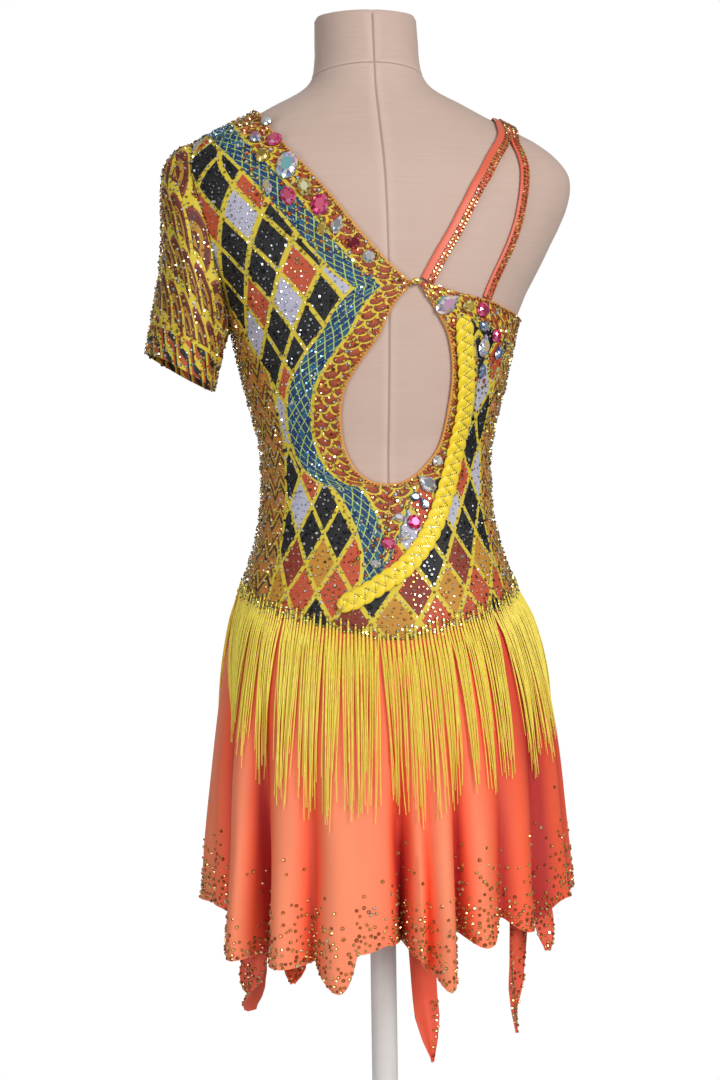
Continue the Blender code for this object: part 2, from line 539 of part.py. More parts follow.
def bodice_back_left(collection):
    """The sleeved side of the back: neckline and keyhole on one edge, armhole and side on the other."""
    inset = BINDING_WIDTH + 2 * GAP
    neck = neckline(inset)[1]
    edge = keyhole(inset)[0]
    seam = back_seam(1.0)
    corner = mitred(np.array(KEYHOLE_LEFT[0]), neck[-1], edge[0])
    neck[0] += (neck[1] - neck[0]) * SHOULDER_SPLIT / (90.0 - neck[1, 0])
    inner = joined(np.vstack([neck[:-1], corner]), np.vstack([corner, edge[1:-1], seam[0]]), seam)
    upper = armhole(np.linspace(0.0, 142.0, NECK_BACK_STEPS), -1.0)
    middle = joined(armhole(np.linspace(142.0, 180.0, 5), -1.0),
                    side_seam(90.0, ARMHOLE_HEIGHT - ARMHOLE_HALF, WAIST_SPLIT, KEYHOLE_STEPS - 4))
    outer = joined(upper, middle, side_seam(90.0, WAIST_SPLIT, HIP_SIDE, SEAM_STEPS))
    outer[:, 0] -= np.where(outer[:, 0] > 89.0, SIDE_SPLIT, 0.0)
    outer[0, 0] = 90.0 - SHOULDER_SPLIT
    places = settle_to_hip(ruled(inner, outer, 9), SEAM_STEPS, GAP)
    piece = put("bodice_back_left", loft("bodice_back_left", on_form(places, EASE)), "print_black",
                collection)
    thicken(piece, WALL, 1)


def bodice_back_right(collection):
    """The bare-shoulder side of the back, from its top edge and the keyhole to the hip."""
    inset = BINDING_WIDTH + 2 * GAP
    edge = keyhole(inset)[1]
    seam = back_seam(-1.0)
    top = neckline(inset)[3] - (360.0, 0.0)
    edge[0] = top[-1] = mitred(np.array(TOP_RIGHT[-1]), edge[0], top[-1])
    inner = joined(np.vstack([edge[:-1], seam[0]]), seam)
    outer = joined(side_seam(-90.0, top[0, 1], WAIST_SPLIT, KEYHOLE_STEPS),
                   side_seam(-90.0, WAIST_SPLIT, HIP_SIDE, SEAM_STEPS))
    outer[:, 0] += SIDE_SPLIT
    top[0, 0] = outer[0, 0]
    places = ruled(outer, inner, TOP_RIGHT_STEPS)
    miss = top - places[0]
    ramp = smoothstep(np.linspace(1.0, 0.0, 7))
    places[:7] += ramp[:, None, None] * miss[None, :, :]
    places = settle_to_hip(places, SEAM_STEPS, GAP)
    piece = put("bodice_back_right", loft("bodice_back_right", on_form(places, EASE)), "print_gold",
                collection)
    thicken(piece, WALL, 1)


def bodice_front(collection):
    """The whole front, cut with one shoulder and a slanting neckline."""
    neck = neckline(BINDING_WIDTH + 2 * GAP)[2]
    neck[0] += (neck[1] - neck[0]) * SHOULDER_SPLIT / (neck[1, 0] - 90.0)
    neck[-1, 0] = 270.0
    right = joined(neck, side_seam(270.0, neck[-1, 1], HIP_SIDE, 10))
    right[:, 0] -= np.where(right[:, 0] > 269.9, SIDE_SPLIT, 0.0)
    armpit = ARMHOLE_HEIGHT - ARMHOLE_HALF
    left = joined(armhole(np.linspace(0.0, 180.0, 13), 1.0),
                  side_seam(90.0, armpit, 0.060, NECK_FRONT_STEPS - 12),
                  side_seam(90.0, 0.060, HIP_SIDE, 10))
    left[:, 0] += np.where(left[:, 0] < 91.0, SIDE_SPLIT, 0.0)
    left[0, 0] = 90.0 + SHOULDER_SPLIT
    places = settle_to_hip(ruled(left, right, 18), 10, GAP)
    piece = put("bodice_front", loft("bodice_front", on_form(places, EASE)), "print_maroon",
                collection)
    thicken(piece, WALL, 1)


def sleeve(collection):
    """The short sleeve, hanging open from the armhole; its outer side is its rings."""
    turns = np.linspace(0.0, 360.0, 24, endpoint=False)
    back = turns <= 180.0
    places = np.where(back[:, None], armhole(turns, -1.0, 0.012), armhole(360.0 - turns, 1.0, 0.012))
    rings = [on_form(places, CLOTH_OUT)]
    for outer_x, outer_z, inner_x, inner_z, depth, centre in SLEEVE_RINGS:
        share = 0.5 + 0.5 * np.cos(np.radians(turns))
        x = inner_x + (outer_x - inner_x) * share
        z = inner_z + (outer_z - inner_z) * share + WAIST_HEIGHT
        y = centre + depth * np.sin(np.radians(turns))
        rings.append(np.stack([x, y, z], -1))
    piece = put("sleeve_left", loft("sleeve_left", np.array(rings), closed=True), "print_maroon",
                collection)
    thicken(piece, WALL, 1)


def ribbon(name, line, width, thickness, out, colour, collection, columns=2):
    """A flat strip on the form along a line of places."""
    offsets = np.linspace(-width / 2, width / 2, columns)
    places = np.stack([beside(line, offset) for offset in offsets], 1)
    mesh = solid_between(name, on_form(places, out), on_form(places, out + thickness))
    put(name, mesh, colour, collection)


def edge_strip(name, outer, inner, collection):
    """A binding between an edge and a line just inside it."""
    places = np.stack([outer, inner], 1)
    mesh = solid_between(name, on_form(places, EASE), on_form(places, EASE + BINDING_THICKNESS))
    put(name, mesh, "coral", collection)


def bindings(collection):
    """The bound edges: the whole neckline in one length, and the keyhole in another."""
    edge_strip("neckline_binding", neckline(0.0)[0], neckline(BINDING_WIDTH)[0], collection)
    edges = []
    for offset in (0.0, BINDING_WIDTH):
        down, up = keyhole(offset)
        line = joined(down, up[::-1])
        line[0] += (line[1] - line[0]) * KEYHOLE_TRIM_LEFT
        line[-1] += (line[-2] - line[-1]) * KEYHOLE_TRIM_RIGHT
        edges.append(line)
    edge_strip("keyhole_binding", *edges, collection)


def straps(collection):
    """Two narrow straps from the back, close together over the bare shoulder and down the front."""
    for name, line, width in (("strap_inner", STRAP_INNER, STRAP_INNER_WIDTH),
                              ("strap_outer", STRAP_OUTER, STRAP_OUTER_WIDTH)):
        ribbon(name, along(line, 24), width - 2 * STRAP_EDGE, STRAP_THICKNESS, EASE, "coral", collection)


def braid(collection):
    """The plaited applique round the keyhole's right side, raised over a plain underside."""
    rows = BRAID_PLAITS * 2 + 1
    line = along(BRAID, rows)
    across = np.linspace(-0.5, 0.5, 5)
    places = np.stack([beside(line, share * BRAID_WIDTH) for share in across], 1)
    inner = on_form(places, CLOTH_OUT + LAY)
    plait = np.arange(rows)[:, None] * math.pi / 2
    relief = 0.5 + 0.5 * np.cos(plait + across[None, :] * 2.0 * math.pi)
    crown = 1.0 - (2.0 * across[None, :]) ** 4 * BRAID_CROWN
    height = (BRAID_THICKNESS + BRAID_RELIEF * relief) * crown
    outer = on_form(places, CLOTH_OUT + LAY + height)
    put("braid", solid_between("braid", inner, outer), "yellow", collection)


def stones(collection):
    """The large set stones, each its own faceted piece just above the cloth."""
    for number, (angle, height, length, width, turn, pointed, colour) in enumerate(STONES, 1):
        name = f"stone_{number:02d}"
        place = np.array([angle, height])
        per_turn, per_rise, normal = slopes(place[0], place[1])
        seat = on_form(place, STONE_OUT)
        up = per_rise - normal * np.dot(per_rise, normal)
        up /= np.linalg.norm(up)
        right = np.cross(up, normal)
        work = bmesh.new()
        bmesh.ops.create_cone(work, cap_ends=True, segments=STONE_SIDES, radius1=STONE_GIRDLE,
                              radius2=STONE_TABLE, depth=1.0)
        lean = math.radians(turn)
        for vertex in work.verts:
            x, y, z = vertex.co
            taper = 1.0 - STONE_TAPER * pointed * max(0.0, y / STONE_GIRDLE)
            u = x * width * taper
            v = y * length
            flat = right * (u * math.cos(lean) - v * math.sin(lean))
            flat = flat + up * (u * math.sin(lean) + v * math.cos(lean))
            bow = 0.5 * np.dot(flat, flat) / STONE_BOW
            rise = normal * ((z + 0.5) * (STONE_HEIGHT + bow))
            vertex.co = seat + flat + rise
        mesh = bpy.data.meshes.new(name)
        work.to_mesh(mesh)
        work.free()
        put(name, mesh, colour, collection)


def clasp(collection):
    """The bead over the hook and eye that closes the back above the keyhole."""
    work = bmesh.new()
    bmesh.ops.create_uvsphere(work, u_segments=10, v_segments=6, radius=1.0)
    place = np.array(CLASP)
    normal = slopes(place[0], place[1])[2]
    seat = on_form(place, EASE + BINDING_THICKNESS + 2 * LAY + CLASP_HALF[1])
    rise = np.array((0.0, 0.0, 1.0))
    side = np.cross(normal, rise)
    for vertex in work.verts:
        x, y, z = np.array(vertex.co) * CLASP_HALF
        vertex.co = seat + side * x + normal * y + rise * z
    mesh = bpy.data.meshes.new("clasp_bead")
    work.to_mesh(mesh)
    work.free()
    put("clasp_bead", mesh, "gold", collection)


def fold_columns(first, last):
    """Skirt columns between two angles: each column's angle, fold depth, start and hem height."""
    table = np.vstack([FOLDS - (360.0, 0, 0, 0), FOLDS, FOLDS + (360.0, 0, 0, 0)])
    columns = []
    for here, following in zip(table[:-1], table[1:]):
        count = max(2, round((following[0] - here[0]) / COLUMN_STEP))
        widen = 1.0 if here[1] > following[1] else -1.0
        for step in range(count):
            share = step / count
            eased = 0.5 - 0.5 * math.cos(math.pi * share)
            swing = share + widen * FOLD_PINCH / math.pi * math.sin(math.pi * share)
            angle = here[0] + (following[0] - here[0]) * swing
            if first < angle < last:
                columns.append((angle, *(here[1:] + (following[1:] - here[1:]) * eased)))
    return np.array(columns)


def skirt_points(angle, fold, start, drop, out):
    """World points of the skirt's outer side at a drop below its seam."""
    seam = hip(angle)
    base = skin(angle, seam)
    normal = slopes(angle, seam)[2] * (1.0, 1.0, 0.0)
    normal /= np.linalg.norm(normal, axis=-1, keepdims=True)
    turn = np.radians(angle)
    share = FLARE_SIDES - FLARE_LEAN * np.sin(turn) + FLARE_ENDS * np.cos(turn) ** 2
    flare = FLARE_OUT * share * (1.0 - np.exp(-drop / FLARE_DROP))
    opened = np.clip((drop - start) / (FOLD_FULL - start), 0.0, 1.2) ** FOLD_SWELL
    away = CLOTH_OUT + flare + fold * opened + out
    points = base + normal * away[..., None]
    points[..., 2] = seam - drop + WAIST_HEIGHT
    return points


def skirt_panel(name, first, last, collection):
    """One skirt panel with its folds, from the hip seam to the uneven hem."""
    columns = fold_columns(first + 2.0, last - 2.0)
    ends = []
    for angle in (first + PANEL_EDGE, last - PANEL_EDGE):
        near = fold_columns(angle - 8.0, angle + 8.0)
        ends.append([angle] + [np.interp(angle, near[:, 0], near[:, k]) for k in (1, 2, 3)])
    columns = np.vstack([ends[0], columns, ends[1]])
    angle, fold, start, hem = columns.T
    share = np.linspace(0.0, 1.0, SKIRT_ROWS + 1) ** SKIRT_BUNCH
    seam = hip(angle)
    drop = GAP + (seam - hem - GAP)[None, :] * share[:, None]
    grid = skirt_points(np.broadcast_to(angle, drop.shape), np.broadcast_to(fold, drop.shape),
                        np.broadcast_to(start, drop.shape), drop, 0.0)
    piece = put(name, loft(name, grid), "coral", collection)
    thicken(piece, WALL, -1)


def hem_points(collection):
    """The long points that hang from inside the hem, each folded and drawn to a tip."""
    rows, across = 8, 7
    share = np.linspace(0.0, 1.0, rows)[:, None]
    side = np.linspace(-1.0, 1.0, across)[None, :]
    for name, angle, half, top, tip, lean, follow, inside in HEM_POINTS:
        around = fold_columns(angle - POINT_REACH, angle + POINT_REACH)
        places = np.linspace(angle - half - POINT_MARGIN, angle + half + POINT_MARGIN, POINT_PLACES)
        angles = angle + lean * share + half * np.interp(share, *POINT_TAPER) * side
        fold, start = [np.interp(places, around[:, 0], around[:, k]).min() * (1.0 - follow)
                       + np.interp(angles, around[:, 0], around[:, k]) * follow for k in (1, 2)]
        drop = hip(angles) - (top + (tip - top) * share)
        crease = -POINT_CREASE * (1.0 - np.abs(side)) * share
        grid = skirt_points(angles, fold, start, drop, POINT_DRIFT * share**2 - inside + crease)
        piece = put(name, loft(name, grid), "coral_dark", collection)
        thicken(piece, WALL * POINT_THIN, -1)


def fringe(collection):
    """Strands hanging from a narrow strip sewn on just above the skirt seam."""
    for name, first, last in (("fringe_back", -89.0, 89.0), ("fringe_front", 91.0, 269.0)):
        count = STRANDS[name]
        marks = np.linspace(first, last, 2 * count)
        out = CLOTH_OUT + LAY
        bottom = GAP + FRINGE_SEAT
        corners = []
        for height, reach in ((bottom + FRINGE_STRIP, 0.0), (bottom + FRINGE_STRIP, FRINGE_THICKNESS),
                              (bottom, FRINGE_THICKNESS), (bottom, 0.0)):
            places = np.stack([marks, hip(marks) + height], 1)
            corners.append(on_form(places, out + reach))
        points = [p for column in zip(*corners) for p in column]
        faces = [(3, 2, 1, 0), tuple(4 * (2 * count - 1) + k for k in range(4))]
        for k in range(2 * count - 1):
            a, b = 4 * k, 4 * (k + 1)
            faces += [(a, a + 1, b + 1, b), (a + 1, a + 2, b + 2, b + 1), (a + 3, a, b, b + 3)]
            if k % 2:
                faces.append((a + 2, a + 3, b + 3, b + 2))
        table = fold_columns(first - 20.0, last + 20.0)
        for k in range(0, 2 * count, 2):
            ring = [4 * k + 3, 4 * k + 2, 4 * k + 6, 4 * k + 7]
            middle = (marks[k] + marks[k + 1]) / 2
            half = (marks[k + 1] - marks[k]) / 2
            near = np.abs(table[:, 0] - middle) < STRAND_REACH
            fold = max(table[near, 1].max(), STRAND_SHALLOW)
            start = table[near, 2].min()
            length = FRINGE_LENGTH * (1.0 + STRAND_UNEVEN * (math.sin(k * 1.7) + math.sin(k * 0.61)))
            for drop in STRAND_DROPS:
                sides = [(middle - half, 0.0), (middle - half, STRAND_THICKNESS),
                         (middle + half, STRAND_THICKNESS), (middle + half, 0.0)]
                new = [skirt_points(np.array(a), fold, start, np.array(drop), STRAND_CLEAR + o)
                       for a, o in sides]
                here = list(range(len(points), len(points) + 4))
                points += new
                faces += [(ring[n], ring[(n + 1) % 4], here[(n + 1) % 4], here[n]) for n in range(4)]
                ring = here
            points.append(skirt_points(np.array(middle), fold, start, np.array(length),
                                       STRAND_CLEAR + STRAND_THICKNESS / 2))
            faces += [(ring[n], ring[(n + 1) % 4], len(points) - 1) for n in range(4)]
        mesh = bpy.data.meshes.new(name)
        mesh.from_pydata([tuple(p) for p in points], [], faces)
        work = bmesh.new()
        work.from_mesh(mesh)
        bmesh.ops.recalc_face_normals(work, faces=work.faces)
        work.to_mesh(mesh)
        work.free()
        put(name, mesh, "yellow", collection)


def main():
    """Build every piece."""
    clear_scene()
    collection = bpy.data.collections.new("salsa dance dress")
    bpy.context.scene.collection.children.link(collection)
    stand(collection)
    dress_form(collection)
    bodice_back_left(collection)
    bodice_back_right(collection)
    bodice_front(collection)
    sleeve(collection)
    bindings(collection)
    straps(collection)
    braid(collection)
    clasp(collection)
    stones(collection)
    skirt_panel("skirt_back", -90.0, 90.0, collection)
    skirt_panel("skirt_front", 90.0, 270.0, collection)
    hem_points(collection)
    fringe(collection)


main()
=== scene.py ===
"""Looks of the salsa dance dress on its dress form: cloth, print, fringe, stones, plait, form and stand."""
import logging
import math
from dataclasses import dataclass, field
from enum import Enum
from functools import partial
from typing import Callable, Optional, Sequence

import bpy
import numpy as np
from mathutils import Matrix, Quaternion, Vector, kdtree


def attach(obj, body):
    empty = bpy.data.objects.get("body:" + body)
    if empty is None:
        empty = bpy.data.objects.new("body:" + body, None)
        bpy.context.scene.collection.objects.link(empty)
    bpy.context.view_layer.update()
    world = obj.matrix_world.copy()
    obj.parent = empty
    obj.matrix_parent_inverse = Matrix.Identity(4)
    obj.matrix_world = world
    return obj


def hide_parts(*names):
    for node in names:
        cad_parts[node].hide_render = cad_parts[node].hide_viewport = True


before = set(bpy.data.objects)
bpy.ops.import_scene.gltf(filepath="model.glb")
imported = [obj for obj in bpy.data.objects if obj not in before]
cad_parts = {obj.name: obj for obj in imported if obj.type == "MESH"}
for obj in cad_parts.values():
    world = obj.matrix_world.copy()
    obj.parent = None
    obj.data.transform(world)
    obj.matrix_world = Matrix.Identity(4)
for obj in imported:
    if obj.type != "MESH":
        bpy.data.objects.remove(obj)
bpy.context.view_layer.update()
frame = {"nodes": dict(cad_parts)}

log = logging.getLogger("dress")
Array = np.ndarray
Rgb = tuple[float, float, float]
Piece, Material = bpy.types.Object, bpy.types.Material
Tree, Socket = bpy.types.NodeTree, bpy.types.NodeSocket
Faces = list[tuple[int, ...]]
Weight = Callable[[dict[str, Array]], Array]
WHITE = (1.0, 1.0, 1.0)

# Sizes shared with the solids, in metres
WAIST = 0.825
EASE = 0.0022
WALL = 0.0015
CLOTH_OUT = EASE + WALL
GAP = 0.0003
LAY = 0.0006
BINDING_WIDTH = 0.0036
BINDING_THICKNESS = 0.0024
NECK_TOP = 0.458
FORM_FOOT = -0.27
HIP_SIDE = -0.112
HIP_DIP = 0.044
BUST = (0.019, 0.045, 0.072, 0.168)     # out, spread, side, height
PUFF = (0.0015, 0.335, 0.03, 55.0)     # out, height, spread in height, spread in degrees
FLARE = (0.062, 0.092, 0.575, 0.13, 0.275)
FOLD_PINCH = 0.55
FOLD_FULL = 0.3

# Height, half width, centre y, depth behind, depth in front, squareness
SECTIONS = np.array([
    (-0.27, 0.146, 0.0, 0.1, 0.088, 2.3), (-0.235, 0.149, 0.0, 0.112, 0.093, 2.25),
    (-0.195, 0.149, 0.0, 0.117, 0.097, 2.2), (-0.15, 0.143, 0.0, 0.112, 0.101, 2.2),
    (-0.12, 0.136, 0.0, 0.104, 0.102, 2.2), (-0.09, 0.126, 0.0, 0.096, 0.1, 2.2),
    (-0.06, 0.117, 0.0, 0.088, 0.097, 2.2), (-0.03, 0.112, 0.0, 0.082, 0.094, 2.2),
    (0.0, 0.111, 0.0, 0.08, 0.092, 2.2), (0.03, 0.112, 0.0, 0.083, 0.093, 2.2),
    (0.06, 0.119, 0.0, 0.089, 0.096, 2.2), (0.09, 0.127, 0.0, 0.094, 0.1, 2.2),
    (0.12, 0.134, 0.0, 0.098, 0.105, 2.2), (0.15, 0.141, 0.0, 0.101, 0.108, 2.2),
    (0.18, 0.154, 0.0, 0.102, 0.108, 2.1), (0.21, 0.17, 0.0, 0.101, 0.104, 2.05),
    (0.24, 0.186, -0.001, 0.099, 0.096, 2.0), (0.265, 0.197, -0.002, 0.096, 0.086, 2.0),
    (0.285, 0.201, -0.003, 0.092, 0.077, 2.0), (0.3, 0.198, -0.004, 0.087, 0.07, 2.0),
    (0.315, 0.186, -0.005, 0.08, 0.063, 2.0), (0.33, 0.166, -0.006, 0.072, 0.057, 2.0),
    (0.345, 0.137, -0.008, 0.064, 0.053, 2.0), (0.358, 0.112, -0.01, 0.058, 0.051, 2.0),
    (0.37, 0.0905, -0.013, 0.054, 0.05, 2.0), (0.38, 0.072, -0.016, 0.051, 0.05, 2.0),
    (0.392, 0.058, -0.019, 0.05, 0.05, 2.0), (0.41, 0.053, -0.023, 0.05, 0.05, 2.0),
    (0.435, 0.052, -0.027, 0.05, 0.05, 2.0), (0.458, 0.051, -0.031, 0.049, 0.049, 2.0),
])

# Edges as places on the form: angle from the centre back in degrees, height above the waist
NECK_POINT = (90.0, 0.3585)
NECK_BACK = [NECK_POINT, (66.0, 0.353), (52.0, 0.3445), (44.5, 0.338), (37.0, 0.329), (32.0, 0.321),
             (24.0, 0.302), (16.5, 0.273), (9.0, 0.237), (-1.0, 0.2), (-7.5, 0.183)]
NECK_FRONT = [NECK_POINT, (112.0, 0.35), (128.0, 0.326), (141.0, 0.294), (160.0, 0.26),
              (180.0, 0.234), (200.0, 0.212), (220.0, 0.196), (240.0, 0.18), (256.0, 0.165),
              (270.0, 0.156)]
TOP_RIGHT = [(-90.0, 0.156), (-75.0, 0.155), (-52.5, 0.162), (-42.0, 0.168), (-27.0, 0.174),
             (-17.5, 0.18), (-9.0, 0.186)]
KEYHOLE_LEFT = [(-7.5, 0.183), (-1.5, 0.164), (3.5, 0.133), (10.5, 0.109), (17.5, 0.083),
                (20.5, 0.055), (19.5, 0.028), (14.0, 0.006), (7.0, -0.005), (0.5, -0.008)]
KEYHOLE_RIGHT = [(-9.0, 0.186), (-16.0, 0.158), (-22.5, 0.132), (-26.0, 0.099), (-26.4, 0.063),
                 (-24.0, 0.03), (-15.0, 0.007), (-6.5, -0.005), (0.5, -0.008)]
BACK_SEAM = [(0.5, -0.043), (2.5, -0.078), (8.0, -0.106), (18.0, -0.124)]
SEAM_FOOT_ANGLE = 25.0
STRAP_INNER = [(-12.7, 0.1856), (-17.0, 0.211), (-21.0, 0.234), (-24.0, 0.257), (-28.0, 0.283),
               (-36.0, 0.31), (-52.5, 0.334), (-68.0, 0.345), (-86.0, 0.3495), (-119.0, 0.3435),
               (-138.0, 0.315), (-144.0, 0.284), (-144.3, 0.246), (-143.5, 0.2012)]
STRAP_OUTER = [(-39.7, 0.17), (-42.0, 0.198), (-44.0, 0.222), (-44.5, 0.244), (-44.0, 0.266),
               (-44.5, 0.289), (-47.0, 0.31), (-52.0, 0.326), (-66.0, 0.338), (-86.0, 0.344),
               (-122.0, 0.329), (-135.0, 0.308), (-139.5, 0.276), (-139.0, 0.24), (-137.3, 0.1964)]
BRAID_LINE = [(-28.0, 0.153), (-30.0, 0.128), (-32.5, 0.103), (-34.5, 0.079), (-35.3, 0.057),
              (-34.2, 0.033), (-31.3, 0.008), (-27.2, -0.016), (-22.5, -0.037), (-17.0, -0.056),
              (-10.5, -0.074), (-3.0, -0.091), (4.5, -0.105), (12.5, -0.117), (20.5, -0.126)]
CLASP_PLACE = (-8.2, 0.185)
ARMHOLE = (0.236, 0.09, 27.0, 12.0)    # height, half height, half spread, tilt
ARMPIT = ARMHOLE[0] - ARMHOLE[1]

# Outer x, outer z, inner x, inner z, half depth, centre y
SLEEVE_RINGS = np.array([
    (0.1905, 0.3235, 0.147, 0.137, 0.05, 0.001), (0.206, 0.306, 0.1495, 0.13, 0.054, 0.0),
    (0.21, 0.28, 0.1515, 0.122, 0.056, 0.0), (0.2095, 0.245, 0.1535, 0.113, 0.057, 0.0),
    (0.212, 0.207, 0.156, 0.104, 0.057, 0.0), (0.218, 0.17, 0.158, 0.095, 0.056, 0.0),
    (0.227, 0.1235, 0.16, 0.085, 0.055, 0.0),
])
# The skirt's folds, ridge and trough in turn: angle, out, drop where it starts, hem height
FOLDS = np.array([
    (-177.0, 0.016, 0.02, -0.462), (-168.0, -0.016, 0.04, -0.44), (-159.0, 0.015, 0.03, -0.436),
    (-151.0, -0.014, 0.05, -0.446), (-142.0, 0.018, 0.02, -0.47), (-133.0, -0.018, 0.03, -0.448),
    (-123.0, 0.014, 0.04, -0.436), (-114.0, -0.012, 0.06, -0.43), (-104.0, 0.014, 0.02, -0.434),
    (-94.0, -0.012, 0.04, -0.42), (-83.0, 0.013, 0.01, -0.417), (-71.0, -0.014, 0.05, -0.424),
    (-60.0, 0.014, 0.02, -0.414), (-47.0, -0.018, 0.07, -0.44), (-38.0, 0.012, 0.05, -0.436),
    (-30.0, -0.008, 0.08, -0.422), (-21.0, 0.014, 0.06, -0.444), (-14.5, -0.02, 0.05, -0.432),
    (-9.5, 0.02, 0.06, -0.48), (-5.3, -0.004, 0.11, -0.464), (-2.5, 0.014, 0.09, -0.452),
    (1.0, -0.036, 0.06, -0.438), (6.0, 0.008, 0.05, -0.437), (13.5, 0.014, 0.04, -0.444),
    (19.0, 0.018, 0.03, -0.48), (28.0, -0.01, 0.07, -0.456), (38.0, 0.016, 0.04, -0.462),
    (49.0, -0.034, 0.05, -0.452), (59.0, 0.017, 0.03, -0.462), (72.0, -0.02, 0.04, -0.436),
    (82.0, 0.008, 0.01, -0.419), (94.0, 0.018, 0.02, -0.42), (106.0, -0.014, 0.05, -0.418),
    (116.0, 0.016, 0.03, -0.437), (125.0, -0.018, 0.04, -0.45), (134.0, 0.014, 0.03, -0.44),
    (143.0, -0.012, 0.06, -0.436), (152.0, 0.018, 0.02, -0.47), (161.0, -0.016, 0.04, -0.452),
    (172.0, 0.012, 0.05, -0.442), (177.5, -0.006, 0.08, -0.452),
])

# The hem points sewn in under the hem: name, angle, half width in degrees, top, tip, lean in degrees, how
# much they follow the folds, from 0 to 1, and how far they hang inside the skirt's outer side
HEM_POINTS = [
    ("hem_point_left", 65.0, 14.0, -0.4, -0.521, 4.0, 0.6, 0.013),
    ("hem_point_small", 38.0, 5.0, -0.425, -0.479, -2.0, 0.0, 0.013),
    ("hem_point_centre", -5.5, 4.6, -0.41, -0.561, -3.5, 0.0, 0.013),
    ("hem_point_right", -56.0, 7.0, -0.385, -0.541, 14.0, 0.2, 0.02),
    ("hem_point_side", -57.0, 4.0, -0.36, -0.463, 5.0, 0.6, 0.014),
]

# Large stones: angle, height, length, width, turn in degrees, pointed end (1 or 0), colour name
STONES = [
    (46.5, 0.34, 0.012, 0.012, 0, 0, "crystal"), (43.0, 0.3245, 0.014, 0.012, 30, 1, "aurora"),
    (35.0, 0.3215, 0.017, 0.016, 0, 0, "pink"), (36.0, 0.306, 0.017, 0.014, 0, 0, "gold"),
    (27.6, 0.296, 0.03, 0.021, -8, 0, "aurora"), (34.0, 0.277, 0.017, 0.01, 10, 1, "aurora"),
    (22.8, 0.275, 0.018, 0.014, 0, 0, "gold"), (28.0, 0.267, 0.019, 0.015, 5, 0, "pink"),
    (19.2, 0.258, 0.022, 0.017, -20, 0, "pink"), (15.0, 0.239, 0.019, 0.012, -30, 1, "crystal"),
    (19.8, 0.235, 0.015, 0.011, -20, 0, "gold"), (10.3, 0.222, 0.015, 0.012, -40, 1, "garnet"),
    (6.3, 0.208, 0.013, 0.012, 0, 0, "crystal"),
    (-20.6, 0.164, 0.028, 0.018, -55, 1, "aurora"), (-29.7, 0.162, 0.013, 0.013, 0, 0, "gold"),
    (-37.6, 0.159, 0.015, 0.015, 0, 0, "pink"), (-39.2, 0.144, 0.013, 0.011, 60, 1, "sapphire"),
    (-41.4, 0.125, 0.023, 0.014, 0, 1, "aurora"), (-48.7, 0.135, 0.014, 0.012, 0, 0, "pink"),
    (-52.5, 0.119, 0.014, 0.009, 0, 1, "sapphire"), (-42.5, 0.101, 0.016, 0.008, 0, 1, "sapphire"),
    (-22.8, 0.014, 0.011, 0.011, 0, 0, "crystal"), (-16.9, -0.008, 0.022, 0.015, 50, 1, "aurora"),
    (-15.4, -0.028, 0.013, 0.009, 30, 1, "sapphire"), (-10.6, -0.021, 0.012, 0.009, 80, 1, "sapphire"),
    (-9.8, -0.046, 0.015, 0.014, 30, 0, "pink"), (-3.0, -0.041, 0.014, 0.009, 80, 1, "aurora"),
    (1.0, -0.066, 0.015, 0.012, 75, 0, "pink"), (-4.6, -0.06, 0.012, 0.008, 80, 0, "crystal"),
    (6.5, -0.085, 0.013, 0.009, 70, 1, "crystal"),
]


def smoothstep(value: Array) -> Array:
    """Ease from 0 to 1 as value goes from 0 to 1."""
    value = np.clip(value, 0.0, 1.0)
    return value * value * (3.0 - 2.0 * value)


def through(keys: Array, rows: Array, at: Array) -> Array:
    """Read a smooth curve through rows at their keys.

    Args:
        keys: rising places of the rows.
        rows: one row of values for each key.
        at: places to read.

    Returns:
        One row of values for each place.
    """
    keys, rows = np.asarray(keys, float), np.asarray(rows, float)
    slopes = np.empty_like(rows)
    slopes[1:-1] = (rows[2:] - rows[:-2]) / (keys[2:] - keys[:-2])[:, None]
    slopes[0] = (rows[1] - rows[0]) / (keys[1] - keys[0])
    slopes[-1] = (rows[-1] - rows[-2]) / (keys[-1] - keys[-2])
    at = np.clip(np.asarray(at, float), keys[0], keys[-1])
    first = np.clip(np.searchsorted(keys, at, side="right") - 1, 0, len(keys) - 2)
    span = (keys[first + 1] - keys[first])[..., None]
    t = (at - keys[first])[..., None] / span
    return ((2 * t**3 - 3 * t**2 + 1) * rows[first] + (t**3 - 2 * t**2 + t) * span * slopes[first]
            + (3 * t**2 - 2 * t**3) * rows[first + 1] + (t**3 - t**2) * span * slopes[first + 1])


def unit(vectors: Array) -> Array:
    """The same directions, one metre long."""
    return vectors / np.maximum(np.linalg.norm(vectors, axis=-1, keepdims=True), 1e-12)


def run_of(points: Array) -> Array:
    """How far each point is along a line of points, in metres."""
    return np.concatenate([[0.0], np.cumsum(np.linalg.norm(np.diff(points, axis=0), axis=1))])


def ripple(a: Array, b: Array, seed: int, octaves: int = 4) -> Array:
    """Soft uneven waves over two coordinates, from about -1 to 1.

    Args:
        a: first coordinate, in waves.
        b: second coordinate, in waves.
        seed: which set of waves.
        octaves: how many layers of finer waves.

    Returns:
        The height of the waves at each place.
    """
    rng = np.random.default_rng(seed)
    total, weight, scale = 0.0, 0.0, 1.0
    for _ in range(octaves):
        turn, phase, other = rng.uniform(0.0, 2.0 * math.pi, 3)
        u = math.cos(turn) * a + math.sin(turn) * b
        v = math.cos(turn) * b - math.sin(turn) * a
        waves = np.sin(2 * math.pi * scale * u + phase) * np.cos(2 * math.pi * scale * v + other)
        total = total + waves / scale
        weight += 1.0 / scale
        scale *= 1.73
    return total / weight * 1.6


